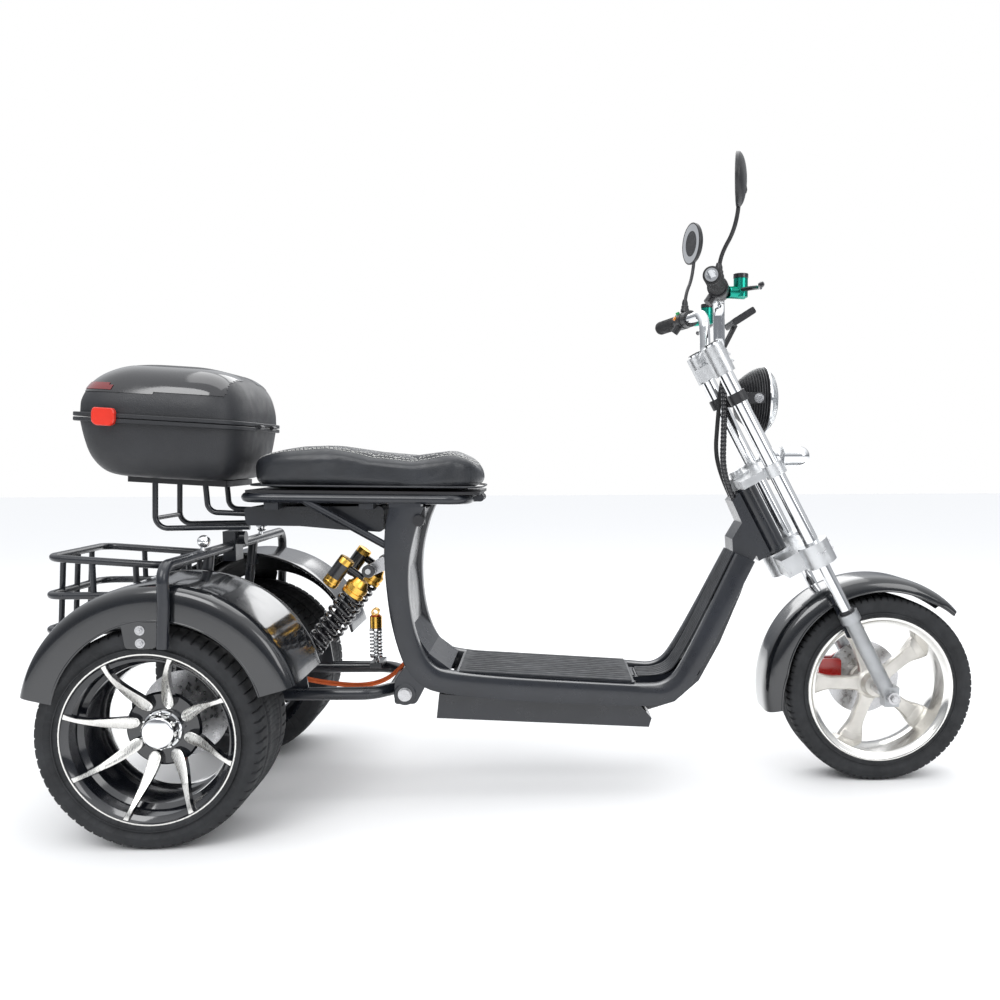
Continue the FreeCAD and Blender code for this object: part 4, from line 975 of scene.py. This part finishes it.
def rear_fenders():
    """Gloss crowns with a soft shoulder, a rolled inner rim and a beaded skirt."""
    line = smooth_path([(264, 167), (266, 175), (265, 230), (265, 340), (264, 372), (256, 386), (240, 390.5),
                        (215, 391), (198, 391)], 3)
    parts = [arch(shell_section(line, 2.8), 25, 248, 15, 168, 110)]
    for r, y, size in ((264, 168, 3.0), (198, 389.5, 2.4)):
        angle = np.radians(np.linspace(15, 168, 110))
        path = np.stack([25 + r * np.cos(angle), np.full(110, y), 248 + r * np.sin(angle)], 1)
        parts.append(carry(path, ring(size, 10), lean=(0, 1, 0)))
    tab = round_corners([(-34, 444), (-27, 393), (30, 393), (42, 444)], 8)
    parts.append(slab(tab, 388.5, 391.5, 1))
    mesh("rear_fender_skin_left", parts, gloss_black, "frame", replaces=["rear_fender_left"])
    mesh("rear_fender_skin_right", [mirrored(p) for p in parts], gloss_black, "frame",
         replaces=["rear_fender_right"])
    bolts = []
    for x, z in ((2, 428), (2, 404)):
        bolts.extend(bolt((x, 391.5, z), (0, 1, 0), 6, 4))
    mesh("fender_bolts", both(*bolts), steel, "frame")


rear_fenders()


def front_fender():
    """Arched gloss fender whose sides fall deeper at the back, with a rolled edge."""
    cx, cz = front_x - 12, axle_z + 4
    angle = np.radians(np.linspace(43, 192, 120))
    v = np.linspace(-1, 1, 41)
    side = np.interp(np.degrees(angle), [43, 60, 100, 140, 170, 192], [14, 26, 34, 40, 46, 34])
    fall = np.abs(v) ** 3.4
    r = 257 - side[:, None] * fall[None, :]
    y = 71.6 * np.sign(v) * (1 - (1 - np.abs(v)) ** 1.7) ** 0.8
    taper = np.interp(np.degrees(angle), [43, 52, 70, 192], [0.72, 0.9, 1, 1])
    y = taper[:, None] * y[None, :]
    outer = np.stack([cx + r * np.cos(angle)[:, None], y, cz + r * np.sin(angle)[:, None]], -1)
    ri = r - 2.8
    yi = y * 0.965
    inner = np.stack([cx + ri * np.cos(angle)[:, None], yi, cz + ri * np.sin(angle)[:, None]], -1)
    whole = np.concatenate([outer, inner[:, ::-1]], 1)
    faces = quads(120, 82, False, True)
    faces.extend([list(range(82)), [119 * 82 + k for k in reversed(range(82))]])
    parts = [(whole, faces)]
    for edge in (outer[:, 0], outer[:, -1]):
        parts.append(carry(edge, ring(2.2, 8), lean=(0, 1, 0)))
    mesh("front_fender_skin", parts, gloss_black, "steering", replaces=["front_fender"])
    tip, lower = fork_point(182), fork_point(150, -6)
    stays = []
    for spot, size in ((tip, 7), (lower, 6)):
        stays.append(rod((spot[0], 67, spot[2]), (spot[0], 91.5, spot[2]), size))
    strap = round_corners([(tip[0] - 44, tip[2] + 58), (lower[0] - 10, lower[2] - 8),
                           (lower[0] + 10, lower[2] - 4), (tip[0] + 10, tip[2] + 2),
                           (tip[0] - 6, tip[2] + 58)], 7)
    stays.append(slab(strap, 69, 72, 0.8))
    mesh("front_fender_stays", both(*stays), frame_black, "steering")


front_fender()

# --- frame skins -----------------------------------------------------------------

slope_x = front_x - 560


def side_rail():
    """Left rail: smoothed outer and inner edges joined by a rounded box section.

    It leans in towards the head as it climbs the slope.
    """
    outer = [(424, 640), (412, 590), (411, 500), (424, 372), (462, 262), (544, 227), (slope_x, 200),
             (slope_x + 92, 206), (slope_x + 146, 290), (slope_x + 262, 512)]
    inner = [(500, 640), (478, 590), (459, 500), (468, 380), (500, 300), (552, 276), (slope_x, 248),
             (slope_x + 64, 246), (slope_x + 104, 300), (slope_x + 220, 530)]
    a, b = smooth_path(outer, 4), smooth_path(inner, 4)
    lean_in = np.clip(((a[:, 0] + b[:, 0]) / 2 - slope_x) / 280, 0, 1)
    y_out = 134 - 66 * lean_in
    y_in = 100 - 56 * lean_in
    corner = [(0, 0.14), (0.02, 0.04), (0.08, 0), (0.92, 0), (0.98, 0.04), (1, 0.14), (1, 0.86), (0.98, 0.96),
              (0.92, 1), (0.08, 1), (0.02, 0.96), (0, 0.86)]
    rows = []
    for depth, across in corner:
        edge = a + (b - a) * depth
        y = y_out + (y_in - y_out) * across
        rows.append(np.stack([edge[:, 0], y, edge[:, 1]], 1))
    points = np.stack(rows, 1)
    faces = quads(len(a), len(corner), False, True)
    count = len(corner)
    faces.extend([list(range(count)), [(len(a) - 1) * count + k for k in reversed(range(count))]])
    boss = lathe([(0, 98), (24, 98), (24, 134), (22, 136), (0, 136)], (451, 0, 236), steps=48)
    lug = slab(round_corners([(428, 214), (474, 214), (500, 262), (452, 298), (428, 264)], 8), 101, 133)
    return [(points, faces), boss, lug]


mesh("rail_skin_left", side_rail(), frame_black, "frame", replaces=["frame_rail_left"])
mesh("rail_skin_right", [mirrored(p) for p in side_rail()], frame_black, "frame",
     replaces=["frame_rail_right"])


def grooved(path, half_start, half_end, ribs, thick=3.0, depth=1.6):
    """Mat laid along a side path, its top cut by grooves that run lengthways."""
    path = np.asarray(path, float)
    along = np.gradient(path, axis=0)
    along /= np.linalg.norm(along, axis=1)[:, None]
    normal = np.stack([-along[:, 1], along[:, 0]], 1)
    v = np.linspace(-1, 1, 161)
    half = np.linspace(half_start, half_end, len(path))
    t = np.linspace(0, 1, len(path))
    border = smoothstep(np.abs(v), 0.9, 0.94)[None, :]
    ends = smoothstep(np.minimum(t, 1 - t), 0.02, 0.05)[:, None]
    wave = 0.5 + 0.5 * np.cos(v * ribs * math.pi)[None, :]
    groove = smoothstep(wave, 0.82, 0.95) * (1 - border) * ends
    lift = thick - depth * groove
    lift = lift * (1 - 0.75 * smoothstep(np.abs(v), 0.985, 1)[None, :])
    top = np.stack([path[:, None, 0] + normal[:, None, 0] * lift, half[:, None] * v[None, :],
                    path[:, None, 1] + normal[:, None, 1] * lift], -1)
    base = np.stack([np.broadcast_to(path[:, None, 0], lift.shape), half[:, None] * v[None, :],
                     np.broadcast_to(path[:, None, 1], lift.shape)], -1)
    whole = np.concatenate([top, base[:, ::-1]], 1)
    faces = quads(len(path), 322, False, True)
    faces.extend([list(range(322)), [(len(path) - 1) * 322 + k for k in reversed(range(322))]])
    return whole, faces


floor_line = np.stack([np.linspace(566, slope_x - 16, 40), np.linspace(279.2, 253.5, 40)], 1)
mesh("floor_mat_ribbed", [grooved(floor_line, 111, 111, 12)], mat_rubber, "battery_cover",
     replaces=["floor_mat"])
slope_line = smooth_path([(slope_x + 4, 248.4), (slope_x + 58, 249), (slope_x + 98, 276),
                          (slope_x + 220, 530.4)], 4)
mesh("front_mat_ribbed", [grooved(slope_line, 46, 46, 6)], mat_rubber, "frame",
     replaces=["front_mat"])

# --- fork and headlight ------------------------------------------------------------

lamp_x, lamp_z = front_x - 264, 872.0
forward = (1, 0, 0)


def headlight():
    """Ribbed bowl, chrome rim, reflector and a clear bulged lens."""
    ribs = [(8, -74)]
    for t in np.linspace(0, 1, 34):
        r = 40 + 32 * math.sin(t * math.pi / 2)
        ribs.append((r + (1.0 if int(t * 33) % 3 else -1.2), -66 + 58 * t))
    bowl = ribs + [(74, -6), (74, -1), (70, -0.5), (68, -6), (66, -16), (58, -38), (34, -60), (8, -66)]
    lathe_bowl = lathe(bowl, (lamp_x, 0, lamp_z), forward, 96, True)
    lugs = both(rod((lamp_x - 34, 60, lamp_z), (lamp_x - 34, 82, lamp_z), 9))
    s = (lamp_z - axle_z) / math.cos(rake)
    bands, arms = [], []
    for side in (1, -1):
        y = side * fork_half
        bands.append(lathe([(16.6, -12), (20, -12), (21, -11), (21, 11), (20, 12), (16.6, 12)],
                           fork_point(s, 0, y), up, 40, True))
        outline = round_corners([(fork_point(s)[0] - 10, lamp_z - 12), (lamp_x - 20, lamp_z - 12),
                                 (lamp_x - 20, lamp_z + 12), (fork_point(s)[0] - 10, lamp_z + 12)], 8)
        arms.append(slab(outline, *sorted((side * 83, side * 89))))
    mesh("headlight_bowl", [lathe_bowl, *lugs, *bands, *arms], black_plastic, "steering",
         replaces=["headlight"])
    mesh("headlight_bolts", both(*bolt((lamp_x - 34, 89, lamp_z), (0, 1, 0), 7, 5)), steel, "steering")
    rim = lathe([(67.5, -4), (74.4, -4), (75, -2), (74.4, 0.4), (71, 1.6), (67.5, 0.6)],
                (lamp_x, 0, lamp_z), forward, 96, True)
    mesh("headlight_rim", [rim], chrome, "steering")
    dish = lathe([(64, -16), (57, -32), (44, -46), (24, -56), (0, -58)], (lamp_x, 0, lamp_z), forward, 64)
    bulb = lathe([(0, -20), (9, -22), (13, -30), (13, -50), (0, -56)], (lamp_x, 0, lamp_z), forward, 40)
    mesh("headlight_dish", [dish, bulb], reflector, "steering")
    t = np.linspace(0, 1, 14)
    front = [(67 * math.sin(a), 25.6 - 25.6 * (1 - math.cos(a))) for a in t * math.pi / 2]
    back = [(r * 0.965, d - 3) for r, d in reversed(front)]
    lens = lathe(front + back, (lamp_x, 0, lamp_z), forward, 80)
    mesh("headlight_glass", [lens], lens_glass, "steering", replaces=["headlight_lens"])


headlight()


def clamp_bolts():
    """Pinch bolts on the clamps and dust seals at the tops of the fork legs."""
    heads = []
    for s, n, y in ((354, 34, 92), (372, 34, 92), (836, 24, 96), (820, 24, 96)):
        heads.extend(bolt(fork_point(s, n, y), ahead, 4.5, 4))
    mesh("fork_bolts", both(*heads), steel, "steering")
    seals = []
    for y in (fork_half, -fork_half):
        seals.append(lathe([(13.6, 0), (17, 0), (17.5, 2), (15.5, 7), (13.6, 7)],
                           fork_point(212.2, 0, y), up, 40, True))
        seals.append(lathe([(0, 0), (15.6, 0), (15.6, 1.6), (12, 3), (0, 3)],
                           fork_point(872.1, 0, y), up, 40))
    mesh("fork_seals", seals, black_plastic, "steering")
    nuts = []
    for side in (1, -1):
        nuts.extend(bolt((front_x, side * 136, axle_z), (0, side, 0), 9, 7))
    mesh("axle_nuts", nuts, steel, "steering")


clamp_bolts()

# --- bar, controls and mirrors -----------------------------------------------------

bar_seat_x = fork_point(846, 12)[0]
bar_height = 1081.0
grip_end = np.array([bar_seat_x - 71, 378, bar_height])
grip_line = np.array([-38.0, 138, 0]) / math.hypot(38, 138)


def along_grip(distance):
    """Point on the left grip's axis, measured in from the bar end."""
    return grip_end - grip_line * distance


def grips():
    """Ribbed rubber grips with end flanges."""
    profile = [(12.6, 4), (15, 4), (17, 6)]
    for k in range(19):
        d = 12 + k * 5.4
        profile.extend([(16.9, d), (16.9, d + 3.0), (15.7, d + 3.6), (15.7, d + 4.8)])
    profile.extend([(16.9, 116), (17.0, 122), (16.6, 125), (12.6, 126)])
    mesh("ribbed_grips", both(lathe(profile, grip_end, -grip_line, 40, True)), grip_rubber, "steering",
         replaces=["grips"])


def controls():
    """Switch pods, brake levers and teal reservoirs with black caps."""
    root = along_grip(182)
    pod = lathe([(12.6, 0), (19, 0), (21, 2), (21, 34), (19, 36), (12.6, 36)],
                along_grip(130), -grip_line, 40, True)
    block = rod(along_grip(148) + [-8, 0, -10], along_grip(148) + [-22, 4, -30], 9)
    collar = lathe([(12.6, 0), (19, 0), (20, 1), (20, 23), (19, 24), (12.6, 24)],
                   along_grip(170), -grip_line, 40, True)
    cylinder = rod(root + [14, 10, -4], root + [52, -14, -2], 12.5)
    pivot = root + [40, 0, 2]
    lever = bar([pivot, pivot + [34, 40, 0], along_grip(96) + [88, 0, -8], along_grip(20) + [92, 0, -14]],
                4.6, 12)
    ball = lathe([(0, -6), (4, -5), (6, -1), (6, 1), (4, 5), (0, 6)],
                 along_grip(20) + [92, 0, -14], grip_line, 20)
    mesh("control_pods", both(pod, block, collar), black_plastic, "steering",
         replaces=["bar_controls"])
    mesh("brake_levers", both(lever, ball, rod(pivot + [0, 0, -9], pivot + [0, 0, 9], 6)), spring_black,
         "steering")
    cup = root + [44, -6, -12]
    mesh("brake_reservoirs", both(cylinder, rod(cup, cup + [0, 0, 38], 14.6)), teal, "steering")
    mesh("reservoir_caps", both(rod(cup + [0, 0, 38], cup + [0, 0, 47], 15.4)), spring_black, "steering")
    spot = along_grip(148)
    mesh("button_green", [rod(spot + [-12, 0, 14], spot + [-15, 0, 21], 5)], green_plastic, "steering")
    mesh("button_orange", [rod(spot + [-18, 0, 4], spot + [-24, 0, 7], 5)], orange_plastic, "steering")


def mirrors():
    """Oval mirrors: domed back, rim and glass on a curved stem with a rubber foot."""
    foot = along_grip(158) + np.array([0, 0, 21.0])
    head = np.array([foot[0] + 26, 282, 1279])
    t = np.linspace(0, 1, 12)
    back = [(math.sin(a), 16 * math.cos(a)) for a in t * math.pi / 2]
    profile = [(0, 16)] + [(r, d) for r, d in back[1:]] + [(1.0, -4), (0.94, -5), (0.92, -3.6), (0, -3.6)]
    angle = math.radians(14)
    facing = np.array([math.cos(angle), math.sin(angle), 0])
    side = np.array([-math.sin(angle), math.cos(angle), 0])

    def oval(rows, grow=1.0):
        """Profile of (share of the oval, depth) spread over an oval looking backwards."""
        v = np.arange(64) / 64 * TURN
        points = [head + facing * d + np.outer(np.cos(v), side) * 57 * r * grow
                  + np.outer(np.sin(v), [0, 0, 1]) * 51 * r * grow for r, d in rows]
        return np.concatenate(points), quads(len(rows), 64, False, True)

    stem = bar([foot + [0, 0, 2], foot + [2, 2, 44], [head[0] - 2, 270, 1190], [head[0] + 6, 272, 1262]],
               4.2, 14)
    boot = lathe([(0, 0), (11, 0), (10.5, 6), (9, 8), (9, 14), (7.4, 16), (7.4, 22), (5, 30), (0, 30)], foot,
                 (0, 0, 1), 32)
    joint = lathe([(0, -9), (7, -7), (9, 0), (7, 7), (0, 9)], [head[0] + 10, 274, 1262], (1, 0, 0), 24)
    mesh("mirror_shells", both(oval(profile), stem, boot, joint), black_plastic, "steering",
         replaces=["mirrors"])
    glass_rows = [(0.93, -4.2), (0.5, -3.4), (0.001, -3.2)]
    mesh("mirror_glasses", both(oval(glass_rows)), mirror_face, "steering")


def display():
    """Screen set in the display's sloped top face."""
    top = np.array([[bar_seat_x + 36.6, 1046.5], [bar_seat_x + 79.4, 1073.2]])
    run = (top[1] - top[0]) / np.linalg.norm(top[1] - top[0])
    normal = np.array([-run[1], run[0]])
    start = top[0] + run * 5 - normal * 1.2
    end = top[1] - run * 5 - normal * 1.2
    outline = [start, end, end + normal * 2.0, start + normal * 2.0]
    mesh("display_screen", [slab(outline, -38, 38, 0.6)], screen, "steering")


grips()
controls()
mirrors()
display()


def loom():
    """Hose and wrapped harness from the bar down to the head, attached to no body."""
    hose = [(212, 30, 966), (200, 30, 900), (194, 32, 822), (190, 34, 752), (206, 34, 696), (232, 34, 640),
            (244, 34, 600)]
    path = smooth_path([(slope_x + x, y, z) for x, y, z in hose], 4)
    first = mesh("steering_hose", [carry(path, ring(5, 14), lean=(0, 1, 0))], grip_rubber, None,
                 replaces=["steering_cables"])
    wrap = [(192, -30, 936), (198, -30, 870), (196, -34, 790), (194, -36, 722), (212, -34, 664),
            (246, -30, 600)]
    path = smooth_path([(slope_x + x, y, z) for x, y, z in wrap], 4)
    step = np.linalg.norm(np.diff(path, axis=0), axis=1)
    travel = np.concatenate([[0], np.cumsum(step)])
    fine = np.arange(0, travel[-1], 1.5)
    path = np.stack([np.interp(fine, travel, path[:, k]) for k in range(3)], 1)
    size = 1 - 0.12 * (0.5 + 0.5 * np.cos(fine / 9 * TURN)) ** 6
    second = mesh("steering_harness", [carry(path, ring(7, 14), lean=(0, 1, 0), scale=size)], spring_black,
                  None)
    for piece in (first, second):
        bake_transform(piece)


loom()
lead = smooth_path([(104, 30, 262), (170, 40, 236), (250, 60, 214), (330, 66, 206), (390, 56, 226),
                    (440, 50, 280)], 4)
leads = [carry(lead + np.array([0, dy, dz]), ring(3.1, 12)) for dy, dz in ((0, 3), (-3, -2), (3, -2))]
mesh("motor_leads", leads, orange_rubber, "frame", replaces=["motor_cables"])

# --- camera, light and stage -----------------------------------------------------

camera_x, camera_y, camera_z = 748.8, -2149.8, 753.0
camera_yaw, camera_pitch, camera_roll = 1.972, 5.054, -0.154
focal_share = 0.9461
centre_right, centre_down = 0.0746, 0.0371


def add_camera():
    """Camera at eye level beside the scooter, turned slightly forward and down."""
    data = bpy.data.cameras.new("side_camera")
    data.sensor_width = 36
    data.lens = 36 * focal_share
    data.shift_x = -centre_right
    data.shift_y = centre_down
    data.clip_end = 60
    camera = bpy.data.objects.new("side_camera", data)
    bpy.context.scene.collection.objects.link(camera)
    turn = (Matrix.Rotation(-math.radians(camera_yaw), 4, "Z")
            @ Matrix.Rotation(math.pi / 2 - math.radians(camera_pitch), 4, "X")
            @ Matrix.Rotation(math.radians(camera_roll), 4, "Z"))
    place = (rear_x + camera_x / 1000, camera_y / 1000, camera_z / 1000)
    camera.matrix_world = Matrix.Translation(place) @ turn
    bpy.context.scene.camera = camera


def add_light(name, place, aim, size, power):
    """Soft square lamp aimed at a point."""
    data = bpy.data.lights.new(name, "AREA")
    data.shape = "SQUARE"
    data.size = size
    data.energy = power
    lamp = bpy.data.objects.new(name, data)
    bpy.context.scene.collection.objects.link(lamp)
    lamp.location = place
    lamp.rotation_mode = "QUATERNION"
    lamp.rotation_quaternion = (Vector(aim) - Vector(place)).to_track_quat("-Z", "Y")


def add_stage():
    """Pale floor and a world that shows white behind the scooter."""
    bpy.ops.mesh.primitive_plane_add(size=30)
    floor = bpy.context.object
    floor.name = "floor"
    material = bpy.data.materials.new("pale_floor")
    material.use_nodes = True
    tree = material.node_tree
    shader = tree.nodes["Principled BSDF"]
    shader.inputs["Base Color"].default_value = (0.9, 0.9, 0.9, 1)
    shader.inputs["Roughness"].default_value = 0.9
    floor.data.materials.append(material)
    world = bpy.data.worlds.new("studio")
    world.use_nodes = True
    bpy.context.scene.world = world
    tree = world.node_tree
    tree.nodes.clear()
    rays = tree.nodes.new("ShaderNodeLightPath")
    seen = tree.nodes.new("ShaderNodeBackground")
    seen.inputs["Color"].default_value = (1, 1, 1, 1)
    lit = tree.nodes.new("ShaderNodeBackground")
    lit.inputs["Strength"].default_value = 1.0
    split = tree.nodes.new("ShaderNodeSeparateXYZ")
    tree.links.new(tree.nodes.new("ShaderNodeTexCoord").outputs["Generated"], split.inputs["Vector"])
    ramp = tree.nodes.new("ShaderNodeValToRGB")
    ramp.color_ramp.elements[0].position = 0.05
    ramp.color_ramp.elements[0].color = (0.22, 0.23, 0.25, 1)
    ramp.color_ramp.elements[1].position = 0.75
    ramp.color_ramp.elements[1].color = (1.25, 1.27, 1.3, 1)
    tree.links.new(split.outputs["Z"], ramp.inputs["Fac"])
    tree.links.new(ramp.outputs["Color"], lit.inputs["Color"])
    mix = tree.nodes.new("ShaderNodeMixShader")
    out = tree.nodes.new("ShaderNodeOutputWorld")
    tree.links.new(rays.outputs["Is Camera Ray"], mix.inputs["Fac"])
    tree.links.new(lit.outputs["Background"], mix.inputs[1])
    tree.links.new(seen.outputs["Background"], mix.inputs[2])
    tree.links.new(mix.outputs["Shader"], out.inputs["Surface"])


add_camera()
add_light("key_lamp", (-1.2, -3.2, 3.4), (0, 0, 0.4), 2.2, 70)
add_light("fill_lamp", (2.6, -2.6, 2.2), (0, 0, 0.5), 2.0, 34)
add_light("top_lamp", (0, 0.6, 3.8), (0, 0, 0.3), 3.0, 40)
add_light("back_lamp", (0.4, 3.0, 2.4), (0, 0, 0.5), 2.4, 30)
add_stage()
bpy.context.scene.view_settings.view_transform = "Standard"
